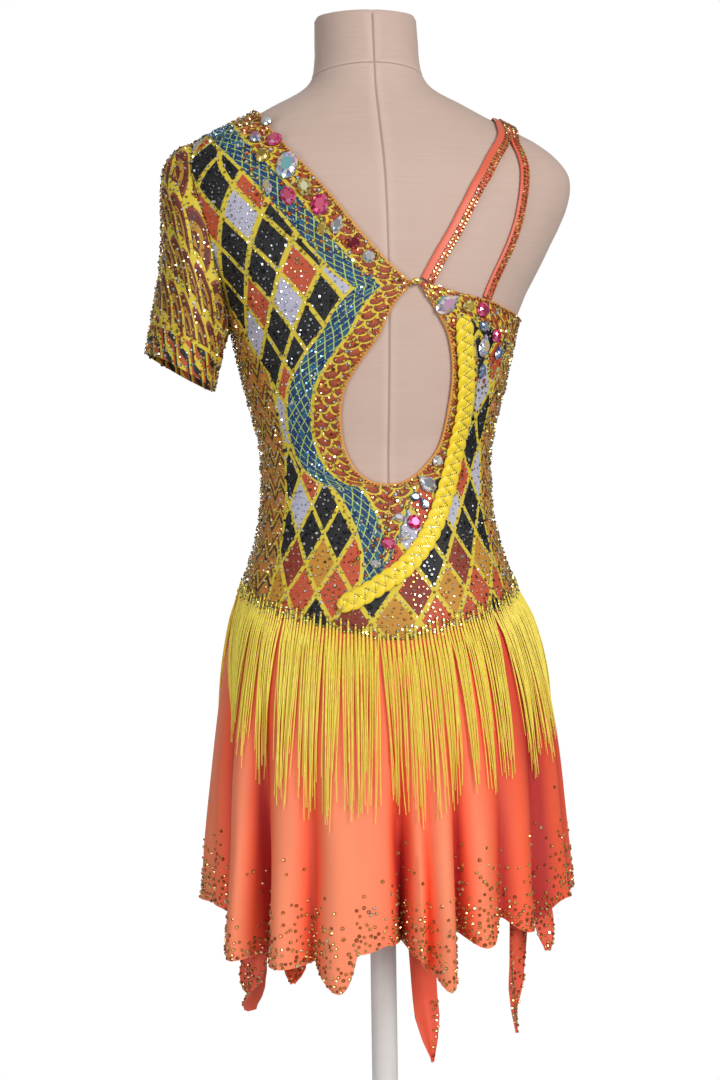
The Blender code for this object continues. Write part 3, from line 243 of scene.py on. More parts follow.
class BodySurface:
    """The dress form's skin; a place on it is an angle from the centre back and a height."""

    def skin(self, angle: Array, height: Array) -> Array:
        """Points of the form's surface, with heights from the waist.

        Args:
            angle: degrees from the centre back, towards the wearer's left.
            height: metres above the waist.

        Returns:
            Points, with the waist at height 0.
        """
        angle, height = np.broadcast_arrays(np.asarray(angle, float), np.asarray(height, float))
        section = through(SECTIONS[:, 0], SECTIONS[:, 1:], height)
        half, centre, behind, front, power = np.moveaxis(section, -1, 0)
        across, back = np.sin(np.radians(angle)), np.cos(np.radians(angle))
        x = half * np.sign(across) * np.abs(across) ** (2 / power)
        y = centre + np.where(back > 0, behind, front) * np.sign(back) * np.abs(back) ** (2 / power)
        out, spread, side, level = BUST
        facing = smoothstep(-2.0 * back)
        for middle in (-side, side):
            y = y - out * facing * np.exp(-((x - middle) ** 2 + (height - level) ** 2) / (2 * spread**2))
        return np.stack([x, y, height], -1)

    def slopes(self, angle: Array, height: Array) -> tuple[Array, Array, Array]:
        """How the surface runs.

        Args:
            angle: degrees from the centre back.
            height: metres above the waist.

        Returns:
            The run per degree, the run per metre of height, and the outward normal.
        """
        turn, rise = 0.8, 0.002
        angle, height = np.asarray(angle, float), np.asarray(height, float)
        low = np.clip(height - rise, SECTIONS[0, 0], SECTIONS[-1, 0])
        high = np.clip(height + rise, SECTIONS[0, 0], SECTIONS[-1, 0])
        per_turn = (self.skin(angle + turn, height) - self.skin(angle - turn, height)) / (2 * turn)
        per_rise = (self.skin(angle, high) - self.skin(angle, low)) / (high - low)[..., None]
        return per_turn, per_rise, unit(np.cross(per_rise, per_turn))

    def point(self, places: Array, out: Array) -> Array:
        """World points of places, moved out from the form.

        Args:
            places: angle and height, in the last axis.
            out: metres from the form.

        Returns:
            World points.
        """
        places = np.asarray(places, float)
        angle, height = places[..., 0], places[..., 1]
        puff, level, rise, spread = PUFF
        off = puff * np.exp(-(((angle - 90.0) / spread) ** 2) - ((height - level) / rise) ** 2)
        lift = np.asarray(out, float) + off
        normal = self.slopes(angle, height)[2]
        return self.skin(angle, height) + normal * lift[..., None] + (0.0, 0.0, WAIST)

    def along(self, points: Sequence, count: int) -> Array:
        """Places spaced evenly along a smooth line.

        Args:
            points: the places that the line goes through.
            count: how many places to give.

        Returns:
            The places.
        """
        points = np.asarray(points, float)
        keys = run_of(self.point(points, CLOTH_OUT))
        return through(keys, points, np.linspace(0.0, keys[-1], count))

    def beside(self, line: Array, distance: Array) -> Array:
        """A line of places moved sideways over the form.

        Args:
            line: the places.
            distance: metres, positive to the line's right as seen from outside.

        Returns:
            The moved places.
        """
        line = np.asarray(line, float)
        per_turn, per_rise, normal = self.slopes(line[:, 0], line[:, 1])
        side = unit(np.cross(np.gradient(self.point(line, CLOTH_OUT), axis=0), normal))
        a, b, c = np.sum(per_turn**2, 1), np.sum(per_turn * per_rise, 1), np.sum(per_rise**2, 1)
        u, v = np.sum(per_turn * side, 1), np.sum(per_rise * side, 1)
        det = a * c - b * b
        shift = np.stack([(c * u - b * v) / det, (a * v - b * u) / det], 1)
        return line + shift * np.asarray(distance, float).reshape(-1, 1)

    def hip(self, angle: Array) -> Array:
        """Height of the skirt seam, lowest at the centre back and the centre front.

        Args:
            angle: places round the form, in degrees.

        Returns:
            Heights above the waist, in metres.
        """
        angle = (np.asarray(angle, float) + 180.0) % 360.0 - 180.0
        away = np.minimum(np.abs(angle), 180.0 - np.abs(angle))
        rounded = np.clip((np.sqrt(away**2 + 36.0) - 6.0) / 82.0, 0.0, 1.0)
        return HIP_SIDE - HIP_DIP * (1.0 - rounded**0.85)

    def armhole(self, turns: Array, sign: float, inset: float = 0.0) -> Array:
        """Places round the armhole.

        Args:
            turns: degrees from its top; 180 is its foot.
            sign: -1 for its back half and 1 for its front half.
            inset: how much smaller, as a share.

        Returns:
            The places.
        """
        turns = np.radians(np.asarray(turns, float))
        level, half, spread, tilt = ARMHOLE
        wide = (spread + tilt * np.cos(turns)) * np.sin(turns) * (1.0 - inset)
        return np.stack([90.0 + sign * wide, level + half * (1.0 - inset) * np.cos(turns)], -1)


BODY = BodySurface()


@dataclass
class Samples:
    """Places picked on a sheet."""

    points: Array
    normals: Array
    maps: dict[str, Array]

    def pick(self, chosen: Array) -> "Samples":
        """Only the chosen places."""
        maps = {key: values[chosen] for key, values in self.maps.items()}
        return Samples(self.points[chosen], self.normals[chosen], maps)


@dataclass
class Sheet:
    """A cloth surface as rows and columns of points, rows running down and columns by rising angle."""

    points: Array
    maps: dict[str, Array]
    closed: bool = False

    def normals(self) -> Array:
        """Outward normals of the points."""
        if self.closed:
            padded = np.concatenate([self.points[:, -1:], self.points, self.points[:, :1]], 1)
            across = np.gradient(padded, axis=1)[:, 1:-1]
        else:
            across = np.gradient(self.points, axis=1)
        down = np.gradient(self.points, axis=0)
        return unit(np.cross(across, down))

    def moved(self, out: Array) -> "Sheet":
        """The same sheet moved along its normals by metres, one value or one for each point."""
        shift = np.asarray(out, float)
        shift = shift[..., None] if shift.ndim else shift
        return Sheet(self.points + self.normals() * shift, self.maps, self.closed)

    def area(self) -> float:
        """The sheet's area in square metres."""
        across = np.diff(self.points, axis=1)
        down = np.diff(self.points, axis=0)
        return float(np.linalg.norm(np.cross(across[:-1], down[:, :-1]), axis=-1).sum())

    def wall(self, name: str, thickness: float, material: Material) -> Piece:
        """Make the sheet a thin closed wall whose outer side is the sheet.

        Args:
            name: the piece's name.
            thickness: metres, inwards.
            material: its finish.

        Returns:
            The piece.
        """
        inner = self.points - self.normals() * thickness
        return closed_wall(name, inner, self.points, self.maps, material, self.closed)

    def scatter(self, spacing: float, seed: int, weight: Optional[Weight] = None) -> Samples:
        """Pick places over the sheet, about evenly spaced.

        Args:
            spacing: metres between neighbours.
            seed: which picking.
            weight: gives the share of places kept, from 0 to 1, from the maps at each place.

        Returns:
            The places.
        """
        rng = np.random.default_rng(seed)
        grid, normal = self.points, self.normals()
        if self.closed:
            grid = np.concatenate([grid, grid[:, :1]], 1)
            normal = np.concatenate([normal, normal[:, :1]], 1)
        across, down = np.diff(grid, axis=1)[:-1], np.diff(grid, axis=0)[:, :-1]
        area = np.linalg.norm(np.cross(across, down), axis=-1)
        count = int(area.sum() / spacing**2 * 6.0)
        cell = rng.choice(area.size, count, p=(area / area.sum()).ravel())
        r, c = np.divmod(cell, area.shape[1])
        u, v = rng.random((2, count, 1))

        def blend(values: Array) -> Array:
            """Read values between the four corners of each chosen cell."""
            return ((values[r, c] * (1 - u) + values[r, c + 1] * u) * (1 - v)
                    + (values[r + 1, c] * (1 - u) + values[r + 1, c + 1] * u) * v)

        maps = {}
        for key, values in self.maps.items():
            whole = values.shape[1] == grid.shape[1]
            maps[key] = blend(values if whole else np.concatenate([values, values[:, :1]], 1))
        found = Samples(blend(grid), unit(blend(normal)), maps)
        if weight is not None:
            found = found.pick(rng.random(count) < weight(found.maps))
        cells = np.floor(found.points / spacing).astype(np.int64)
        key = (cells[:, 0] * 4096 + cells[:, 1]) * 4096 + cells[:, 2]
        found = found.pick(np.unique(key, return_index=True)[1])
        return found.pick(spread_out(found.points, spacing * 0.86))


def spread_out(points: Array, reach: float) -> Array:
    """Which points to keep so that no two are nearer than reach.

    Args:
        points: the points.
        reach: metres.

    Returns:
        A mask of the kept points.
    """
    tree = kdtree.KDTree(len(points))
    for index, point in enumerate(points):
        tree.insert(point, index)
    tree.balance()
    keep = np.ones(len(points), bool)
    for index, point in enumerate(points):
        if keep[index]:
            for _, other, _ in tree.find_range(point, reach):
                if other > index:
                    keep[other] = False
    return keep


def new_piece(name: str, points: Array, loops: Array, starts: Array,
              material: Optional[Material]) -> Piece:
    """Make a mesh object from flat arrays.

    Args:
        name: the piece's name.
        points: world points.
        loops: each face's points, one face after another.
        starts: where each face starts in loops.
        material: its finish.

    Returns:
        The piece.
    """
    mesh = bpy.data.meshes.new(name)
    mesh.vertices.add(len(points))
    mesh.vertices.foreach_set("co", np.asarray(points, np.float32).ravel())
    mesh.loops.add(len(loops))
    mesh.loops.foreach_set("vertex_index", np.asarray(loops, np.int32))
    mesh.polygons.add(len(starts))
    mesh.polygons.foreach_set("loop_start", np.asarray(starts, np.int32))
    mesh.update(calc_edges=True)
    mesh.validate()
    if material is not None:
        mesh.materials.append(material)
    piece = bpy.data.objects.new(name, mesh)
    bpy.context.scene.collection.objects.link(piece)
    return piece


def smooth(piece: Piece, degrees: float, maps: dict[str, Array]) -> Piece:
    """Shade a piece smooth up to an angle, with its UV maps given corner by corner.

    Args:
        piece: the piece.
        degrees: the angle past which an edge is sharp.
        maps: one row of UV coordinates for each corner, one map for each name.

    Returns:
        The same piece.
    """
    for key, values in maps.items():
        piece.data.uv_layers.new(name=key).data.foreach_set("uv", values.astype(np.float32).ravel())
    piece.data.shade_smooth()
    piece.data.set_sharp_from_angle(angle=math.radians(degrees))
    return piece


def closed_wall(name: str, inner: Array, outer: Array, maps: dict[str, Array], material: Material,
                closed: bool = False) -> Piece:
    """One closed body between an inner and an outer grid of points.

    Args:
        name: the piece's name.
        inner: the grid nearer the form.
        outer: the grid that shows.
        maps: UV coordinates in metres for the grid, one map for each name.
        material: its finish.
        closed: whether the columns close into a ring.

    Returns:
        The piece.
    """
    rows, columns = outer.shape[:2]
    count = rows * columns
    across, down = np.gradient(outer, axis=1), np.gradient(outer, axis=0)
    if np.sum(np.cross(across, down) * (outer - inner)) < 0:
        inner, outer = inner[:, ::-1], outer[:, ::-1]
        maps = {key: values[:, ::-1] for key, values in maps.items()}
    index = np.arange(count).reshape(rows, columns)
    following = np.roll(index, -1, 1) if closed else index[:, 1:]
    here = index if closed else index[:, :-1]
    quads = np.stack([here[:-1], following[:-1], following[1:], here[1:]], -1).reshape(-1, 4)
    faces = [quads + count, quads[:, ::-1]]
    rims = [np.stack([here[0], following[0]], -1), np.stack([following[-1], here[-1]], -1)]
    if not closed:
        rims += [np.stack([index[1:, 0], index[:-1, 0]], -1), np.stack([index[:-1, -1], index[1:, -1]], -1)]
    rim = np.concatenate(rims)
    faces.append(np.stack([rim[:, 0], rim[:, 1], rim[:, 1] + count, rim[:, 0] + count], -1))
    loops = np.concatenate(faces).ravel()
    points = np.concatenate([inner.reshape(-1, 3), outer.reshape(-1, 3)])
    corners = {}
    for key, values in maps.items():
        flat = values.reshape(-1, 2)
        uv = corners[key] = flat[loops % count].astype(np.float32)
        if closed:
            across = uv.reshape(-1, 4, 2)[:, :, 0]
            span = float(np.ptp(flat[:, 0])) * columns / (columns - 1)
            far = np.ptp(across, axis=1) > span / 2
            low = across[far] < across[far].max(1, keepdims=True) - span / 2
            across[far] = np.where(low, across[far] + span, across[far])
    return smooth(new_piece(name, points, loops, np.arange(0, len(loops), 4), material), 50, corners)


def lengths(points: Array, axis: int) -> Array:
    """How far each point is along its row or column, in metres.

    Args:
        points: a grid of points.
        axis: 0 to run along the columns, 1 along the rows.

    Returns:
        One length for each point.
    """
    steps = np.linalg.norm(np.diff(points, axis=axis), axis=-1)
    pad = [(0, 0), (0, 0)]
    pad[axis] = (1, 0)
    return np.pad(np.cumsum(steps, axis=axis), pad)


def ruled(left: Array, right: Array, columns: int) -> Array:
    """Straight rows of places between two edges with the same number of points."""
    share = np.linspace(0.0, 1.0, columns)[None, :, None]
    return left[:, None, :] * (1.0 - share) + right[:, None, :] * share


def joined(*pieces: Array) -> Array:
    """Edges end to end, each one's last place shared with the next one's first."""
    return np.concatenate([pieces[0]] + [piece[1:] for piece in pieces[1:]])


def settle_to_hip(places: Array, rows: int, lift: float) -> Array:
    """Bend the last rows of a panel until its foot follows the skirt seam.

    Args:
        places: the panel's places; changed in place.
        rows: how many rows bend.
        lift: metres above the seam.

    Returns:
        The same places.
    """
    foot = places[-1]
    miss = BODY.hip(foot[:, 0]) + lift - foot[:, 1]
    places[-rows:, :, 1] += smoothstep(np.linspace(0.0, 1.0, rows))[:, None] * miss[None, :]
    return places


def ring_solids(name: str, rings: Array, maps: dict[str, Array], material: Material,
                degrees: float, carried: bool = False) -> Piece:
    """Closed bodies through rings of points, each end capped.

    Args:
        name: the piece's name.
        rings: bodies by rings by points round by 3.
        maps: UV coordinates, with one more point round than the rings.
        material: its finish.
        degrees: the angle past which an edge is sharp.
        carried: whether the caps carry on their rings' UV coordinates, and don't have zeros.

    Returns:
        The piece.
    """
    index = np.arange(rings[..., 0].size).reshape(rings.shape[:3])
    here, after = index[:, :-1], index[:, 1:]
    quads = np.stack([here, np.roll(here, -1, 2), np.roll(after, -1, 2), after], -1).ravel()
    caps = np.concatenate([index[:, 0, ::-1], index[:, -1]]).ravel()
    cap_starts = quads.size + np.arange(0, caps.size, rings.shape[2])
    starts = np.concatenate([np.arange(0, quads.size, 4), cap_starts])
    corners = {}
    for key, at in maps.items():
        shifts = np.stack([at[:, :-1, :-1], at[:, :-1, 1:], at[:, 1:, 1:], at[:, 1:, :-1]], 3)
        ends = np.concatenate([at[:, 0, :-1][:, ::-1], at[:, -1, :-1]]) * float(carried)
        corners[key] = np.concatenate([shifts.reshape(-1, 2), ends.reshape(-1, 2)])
    loops = np.concatenate([quads, caps])
    return smooth(new_piece(name, rings.reshape(-1, 3), loops, starts, material), degrees, corners)


def tubes(name: str, paths: Array, across: Array, up: Array, sizes: Array, sides: int,
          material: Material) -> Piece:
    """Many cords in one mesh, each a closed tube with pointed ends.

    Args:
        name: the piece's name.
        paths: points, cords by places by 3.
        across: sideways directions at the points.
        up: outward directions at the points.
        sizes: half width and half height at each point.
        sides: how many sides a cord has.
        material: its finish.

    Returns:
        The piece, with a UV map of turn and length in metres.
    """
    turns = (np.arange(sides) * 2.0 * math.pi / sides)[None, None, :, None]
    ring = (across[:, :, None, :] * (np.cos(turns) * sizes[:, :, None, 0:1])
            + up[:, :, None, :] * (np.sin(turns) * sizes[:, :, None, 1:2]))
    around = np.broadcast_to(np.arange(sides + 1) / sides, (*paths.shape[:2], sides + 1))
    uv = np.stack([around, np.broadcast_to(lengths(paths, 1)[:, :, None], around.shape)], -1)
    return ring_solids(name, paths[:, :, None, :] + ring, {"cord": uv}, material, 75)


class Value:
    """A value in a node tree, so that sums can be written as sums."""

    def __init__(self, graph: "Graph", socket: Socket) -> None:
        """Stand for a socket of the graph."""
        self.graph, self.socket = graph, socket

    def __add__(self, other: object) -> "Value":
        """The sum."""
        return self.graph.math("ADD", self, other)

    def __sub__(self, other: object) -> "Value":
        """The difference."""
        return self.graph.math("SUBTRACT", self, other)

    def __rsub__(self, other: object) -> "Value":
        """A plain number less the value."""
        return self.graph.math("SUBTRACT", other, self)

    def __mul__(self, other: object) -> "Value":
        """The product."""
        return self.graph.math("MULTIPLY", self, other)

    def __truediv__(self, other: object) -> "Value":
        """The quotient."""
        return self.graph.math("DIVIDE", self, other)

    def __abs__(self) -> "Value":
        """The value without its sign."""
        return self.graph.math("ABSOLUTE", self)


class Graph:
    """A node tree, with short ways to add nodes."""

    def __init__(self, tree: Tree, material: Optional[Material] = None) -> None:
        """Work in the given tree, which may be a material's."""
        self.tree, self.material = tree, material

    def put(self, socket: Socket, value: object) -> None:
        """Link a socket to a value of the tree, or set its own value."""
        if isinstance(value, Value):
            self.tree.links.new(value.socket, socket)
        elif isinstance(value, tuple) and len(value) == 3 and socket.type == "RGBA":
            socket.default_value = (*value, 1.0)
        else:
            socket.default_value = value

    def node(self, kind: str, inputs: Optional[dict] = None, **settings: object) -> bpy.types.Node:
        """Add a node.

        Args:
            kind: Blender's name of the node, without its prefix.
            inputs: values for its inputs, by name or number.
            settings: its own settings.

        Returns:
            The node.
        """
        made = self.tree.nodes.new("ShaderNode" + kind)
        for key, value in settings.items():
            setattr(made, key, value)
        for key, value in (inputs or {}).items():
            self.put(made.inputs[key], value)
        return made

    def out(self, kind: str, inputs: Optional[dict] = None, output: object = 0, **settings: object) -> Value:
        """Add a node and read one of its outputs."""
        return Value(self, self.node(kind, inputs, **settings).outputs[output])

    def math(self, operation: str, *values: object, clamp: bool = False) -> Value:
        """A Math node's result."""
        return self.out("Math", dict(enumerate(values)), operation=operation, use_clamp=clamp)

    def near(self, value: object, soft: float, edge: object) -> Value:
        """1 where value is below edge, easing to 0 over soft."""
        ends = {"From Min": self.math("SUBTRACT", edge, soft), "From Max": self.math("ADD", edge, soft)}
        return self.out("MapRange", {"Value": value, **ends, "To Min": 1.0, "To Max": 0.0},
                        interpolation_type="SMOOTHSTEP")

    def mix(self, share: object, first: object, second: object, blend: str = "MIX") -> Value:
        """A colour mixed from two."""
        return self.out("Mix", {0: share, 6: first, 7: second}, 2, data_type="RGBA", blend_type=blend)

    def steps(self, value: object, colours: Sequence[Rgb], smooth: bool = False) -> Value:
        """A ramp through colours, in equal steps.

        Args:
            value: where on the ramp, from 0 to 1.
            colours: the colours in order.
            smooth: whether they run into each other.

        Returns:
            The colour.
        """
        made = self.node("ValToRGB", {"Fac": value})
        ramp = made.color_ramp
        ramp.interpolation = "LINEAR" if smooth else "CONSTANT"
        while len(ramp.elements) < len(colours):
            ramp.elements.new(0.5)
        spans = len(colours) - smooth
        for number, colour in enumerate(colours):
            ramp.elements[number].position = number / max(spans, 1)
            ramp.elements[number].color = (*colour, 1.0)
        return Value(self, made.outputs["Color"])

    def uv(self, name: str) -> Value:
        """A piece's own UV map, in metres."""
        return self.out("UVMap", uv_map=name)

    def spot(self) -> Value:
        """Object coordinates."""
        return self.out("TexCoord", output="Object")

    def noise(self, vector: object, scale: object, detail: float = 3.0) -> Value:
        """Noise from 0 to 1."""
        return self.out("TexNoise", {"Vector": vector, "Scale": scale, "Detail": detail})

    def parts(self, vector: object) -> tuple[Value, Value]:
        """A map's two coordinates."""
        made = self.node("SeparateXYZ", {0: vector})
        return Value(self, made.outputs[0]), Value(self, made.outputs[1])

    def uneven(self, scale: float, amount: float) -> Value:
        """Broad and fine unevenness round 1, over the piece."""
        return EFFECTS.use(self, Group.MOTTLE, Vector=self.spot(), Scale=scale, Amount=amount)["Value"]

    def bump(self, height: object, strength: float, distance: float) -> Value:
        """The normal of a surface raised by a height."""
        return self.out("Bump", {"Height": height, "Strength": strength, "Distance": distance})

    def close(self, **outputs: Value) -> Tree:
        """End a group with its outputs by name, and give its tree."""
        leave = self.tree.nodes.new("NodeGroupOutput")
        for key, value in outputs.items():
            self.tree.interface.new_socket(key, in_out="OUTPUT", socket_type="NodeSocketFloat")
            self.put(leave.inputs[key], value)
        return self.tree

    def dress(self, colour: Value, roughness: object, normal: Optional[Value] = None,
              **others: object) -> Material:
        """Give the material's shader its values.

        Args:
            colour: its base colour.
            roughness: its roughness.
            normal: its raised surface.
            others: values of its other sockets, whose names have _ for each space.

        Returns:
            The material.
        """
        shader = self.tree.nodes["Principled BSDF"]
        self.put(shader.inputs["Base Color"], colour)
        self.put(shader.inputs["Roughness"], roughness)
        if normal:
            self.put(shader.inputs["Normal"], normal)
        for key, value in others.items():
            self.put(shader.inputs[key.replace("_", " ")], value)
        return self.material


def new_look(name: str) -> Graph:
    """The graph of a new material."""
    material = bpy.data.materials.new(name)
    material.use_nodes = True
    return Graph(material.node_tree, material)


class Group(Enum):
    """Shared effects, each a node group built once."""

    WEAVE = "weave"
    KNIT = "knit"
    HARLEQUIN = "harlequin"
    SCALES = "scales"
    CHEVRONS = "chevrons"
    MOTTLE = "mottle"
    TWIST = "twist"


class Effects:
    """Builds the shared node groups and places them in materials."""

    def __init__(self) -> None:
        """Start with no group built."""
        self.built: dict[Group, Tree] = {}

    def start(self, name: str, *numbers: str) -> tuple[Graph, dict[str, Value]]:
        """Start a group.

        Args:
            name: its name.
            numbers: names of the inputs that it has beside Vector.

        Returns:
            Its graph, and its inputs by name.
        """
        tree = bpy.data.node_groups.new(name, "ShaderNodeTree")
        tree.interface.new_socket("Vector", in_out="INPUT", socket_type="NodeSocketVector")
        for number in numbers:
            tree.interface.new_socket(number, in_out="INPUT", socket_type="NodeSocketFloat")
        g, entry = Graph(tree), tree.nodes.new("NodeGroupInput")
        return g, {key: Value(g, entry.outputs[key]) for key in ("Vector", *numbers)}

    def weave(self) -> Tree:
        """Plain weave: threads over and under along both directions."""
        g, given = self.start("weave", "Threads")
        one, two = (g.math("SINE", part * given["Threads"] * math.pi) for part in g.parts(given["Vector"]))
        return g.close(Height=(abs(one) + abs(two)) * 0.35 + one * two * 0.3)

    def knit(self) -> Tree:
        """Fine stretch knit: small leaning loops in columns.

        Returns:
            The effect's node group, with Height.
        """
        g, given = self.start("knit", "Threads")
        x, y = (part * given["Threads"] for part in g.parts(given["Vector"]))
        lean = abs(g.math("FRACT", x) - 0.5)
        loop = g.math("SINE", (y + lean) * (2.0 * math.pi))
        column = g.math("SINE", g.math("FRACT", x) * math.pi)
        return g.close(Height=loop * 0.25 + column * 0.5)

    def harlequin(self) -> Tree:
        """Upright diamonds with lines between; Index counts 0 to 4 over them, and Row counts upwards.

        Returns:
            The effect's node group, with Line, Index and Row.
        """
        g, given = self.start("harlequin", "Width", "Height", "Line")
        x, y = g.parts(given["Vector"])
        x, y = x / given["Width"], y / given["Height"]
        ways = (x + y, x - y)
        one, two = (g.math("FLOOR", way) for way in ways)
        edge = g.math("MINIMUM", *(0.5 - abs(g.math("FRACT", way) - 0.5) for way in ways))
        index = g.math("WRAP", one + two * 2.0, 5.0, 0.0)
        return g.close(Line=g.near(edge, 0.012, given["Line"]), Index=index, Row=one - two)

    def scales(self) -> Tree:
        """Overlapping fish scales; Ring runs from 0 at a scale's root to 1 at its edge.

        Returns:
            The effect's node group, with Line and Ring.
        """
        g, given = self.start("scales", "Radius", "Line")
        x, y = g.parts(given["Vector"])
        across, down = x / (given["Radius"] * 2.0), y / given["Radius"]
        odd = g.math("WRAP", g.math("FLOOR", down), 2.0, 0.0) * 0.5
        x, y = (g.math("FRACT", across + odd) - 0.5) * 2.0, g.math("FRACT", down)
        away = g.math("SQRT", x * x + y * y)
        return g.close(Line=g.near(abs(away - 1.0), 0.03, given["Line"]), Ring=g.math("FRACT", away))

    def chevrons(self) -> Tree:
        """Zigzag stripes; Share runs from 0 to 1 over each set of stripes.

        Returns:
            The effect's node group, with Share.
        """
        g, given = self.start("chevrons", "Width", "Height")
        x, y = g.parts(given["Vector"])
        peak = abs(g.math("FRACT", x / given["Width"]) - 0.5)
        return g.close(Share=g.math("FRACT", y / given["Height"] + peak))

    def mottle(self) -> Tree:
        """Broad and fine unevenness round 1, for colour and roughness.

        Returns:
            The effect's node group, with Value.
        """
        g, given = self.start("mottle", "Scale", "Amount")
        broad = g.noise(given["Vector"], given["Scale"], 4.0)
        fine = g.noise(given["Vector"], given["Scale"] * 9.0, 2.0)
        return g.close(Value=(broad * 0.7 + fine * 0.3 - 0.5) * given["Amount"] + 1.0)

    def twist(self) -> Tree:
        """The plies of a twisted cord, from a map of turn and length.

        Returns:
            The effect's node group, with Height.
        """
        g, given = self.start("twist", "Plies", "Pitch")
        turn, run = g.parts(given["Vector"])
        wave = g.math("SINE", (turn * given["Plies"] + run / given["Pitch"]) * (2.0 * math.pi))
        return g.close(Height=wave * 0.5 + 0.5)

    def use(self, g: Graph, group: Group, **inputs: object) -> dict[str, Value]:
        """Place a shared effect in a material.

        Args:
            g: the material's graph.
            group: which effect.
            inputs: values for its inputs by name.

        Returns:
            Its outputs by name.
        """
        if group not in self.built:
            self.built[group] = getattr(self, group.value)()
        made = g.tree.nodes.new("ShaderNodeGroup")
        made.node_tree = self.built[group]
        for key, value in inputs.items():
            g.put(made.inputs[key], value)
        return {socket.name: Value(g, socket) for socket in made.outputs}


EFFECTS = Effects()


@dataclass(frozen=True)
class Cloth:
    """A plain knitted satin finish; with a ridge colour it also follows the map of folds, which paints shade
    in the deep colour in the fold troughs and at the sides, and a highlight in the ridge colour on the
    ridges.
    """

    name: str
    colour: Rgb
    deep: Rgb
    roughness: float = 0.55
    sheen: float = 0.25
    threads: float = 900.0
    bump: float = 0.25
    depth: float = 0.00012
    map: str = "cloth"
    ridge_highlight: Optional[Rgb] = None

    def make(self) -> Material:
        """Build the material.

        Returns:
            The material.
        """
        g = new_look(self.name)
        height = EFFECTS.use(g, Group.KNIT, Vector=g.uv(self.map), Threads=self.threads)["Height"]
        tone = g.uneven(9.0, 0.5)
        colour = g.mix(g.math("SUBTRACT", tone, 0.5, clamp=True), self.deep, self.colour)
        # Painted shade and highlight: the fold map's tone runs from the deep colour in the troughs and at
        # the sides to the ridge colour on the ridges.
        if self.ridge_highlight:
            fold = g.math("ADD", g.parts(g.uv("fold"))[0], (tone - 1.0) * 0.25, clamp=True)
            colour = g.steps(fold, (self.deep, self.colour, self.ridge_highlight), smooth=True)
        # The knit's raised loops are lightened towards white: a painted highlight on the loops.
        colour = g.mix(height * 0.12, colour, g.mix(0.5, colour, WHITE))
        rough = g.math("MULTIPLY", tone, self.roughness, clamp=True)
        return g.dress(colour, rough, g.bump(height, self.bump, self.depth), Sheen_Weight=self.sheen,
                       Sheen_Roughness=0.4)


@dataclass(frozen=True)
class Cord:
    """A twisted cord finish."""

    name: str
    colour: Rgb
    shade: Rgb
    plies: float = 2.0
    pitch: float = 0.0024
    roughness: float = 0.42

    def make(self) -> Material:
        """Build the material.

        Returns:
            The material.
        """
        g = new_look(self.name)
        cord = g.uv("cord")
        twist = EFFECTS.use(g, Group.TWIST, Vector=cord, Plies=self.plies, Pitch=self.pitch)["Height"]
        # The grooves between the plies take the shade colour, as painted shade; the streaks along the
        # strands are random tone.
        share = g.math("MULTIPLY", twist, g.uneven(55.0, 1.1), clamp=True)
        drawn = g.out("VectorMath", {0: g.spot(), 1: (700.0, 700.0, 5.0)}, operation="MULTIPLY")
        share = share * 0.55 + (g.noise(drawn, 1.0, 1.0) - 0.5) * 1.5
        colour = g.mix(g.math("ADD", share, 0.34, clamp=True), self.shade, self.colour)
        return g.dress(colour, self.roughness, g.bump(twist, 0.7, 0.0003), Sheen_Weight=0.25)


@dataclass(frozen=True)
class CutStone:
    """Foil-backed faceted glass, its colour from the piece's colour attribute, which holds each facet's
    colour lightened or darkened as painted glints.
    """

    name: str
    roughness: float = 0.1
    metallic: float = 0.55
    coat: float = 0.5

    def make(self) -> Material:
        """Build the material.

        Returns:
            The material.
        """
        g = new_look(self.name)
        wear = g.uneven(130.0, 0.5)
        tint_and_glints = g.out("Attribute", output="Color", attribute_name="tint_and_glints")
        colour = g.mix(1.0, tint_and_glints, g.steps(wear, ((0.86, 0.86, 0.86), WHITE), smooth=True), "MULTIPLY")
        rough = g.math("MULTIPLY", wear, self.roughness, clamp=True)
        return g.dress(colour, rough, Metallic=self.metallic, Coat_Weight=self.coat, Coat_Roughness=0.04,
                       IOR=1.6)


@dataclass(frozen=True)
class Paint:
    """Powder coat over metal, with soft orange peel and faint scuffs."""

    name: str
    colour: Rgb
    roughness: float = 0.38

    def make(self) -> Material:
        """Build the material.

        Returns:
            The material.
        """
        g = new_look(self.name)
        tone = g.uneven(14.0, 0.35)
        drawn = g.out("Mapping", {"Vector": g.spot(), "Scale": (1.0, 18.0, 1.0)})
        marks = 1.0 - g.near(g.noise(drawn, 22.0, 6.0), 0.03, 0.66)
        shade = tuple(channel * 0.72 for channel in self.colour)
        colour = g.mix(g.math("SUBTRACT", tone, 0.6, clamp=True), shade, self.colour)
        peel = g.bump(g.noise(g.spot(), 900.0, 2.0), 0.12, 0.0004)
        rough = g.math("MULTIPLY", tone, self.roughness, clamp=True)
        return g.dress(g.mix(marks * 0.35, colour, shade), rough, peel, Coat_Weight=0.25, Coat_Roughness=0.2)


def srgb(red: int, green: int, blue: int) -> Rgb:
    """A linear colour from screen values of 0 to 255."""
    return tuple(((v / 255) / 12.92) if v <= 10 else (((v / 255 + 0.055) / 1.055) ** 2.4)
                 for v in (red, green, blue))


class Zone(Enum):
    """Parts of the bodice's print."""

    LINE = 0
    RUST = 1
    BLUE = 2
    BLACK = 3
    WHITE = 4
    CORAL = 5
    SIDE = 6


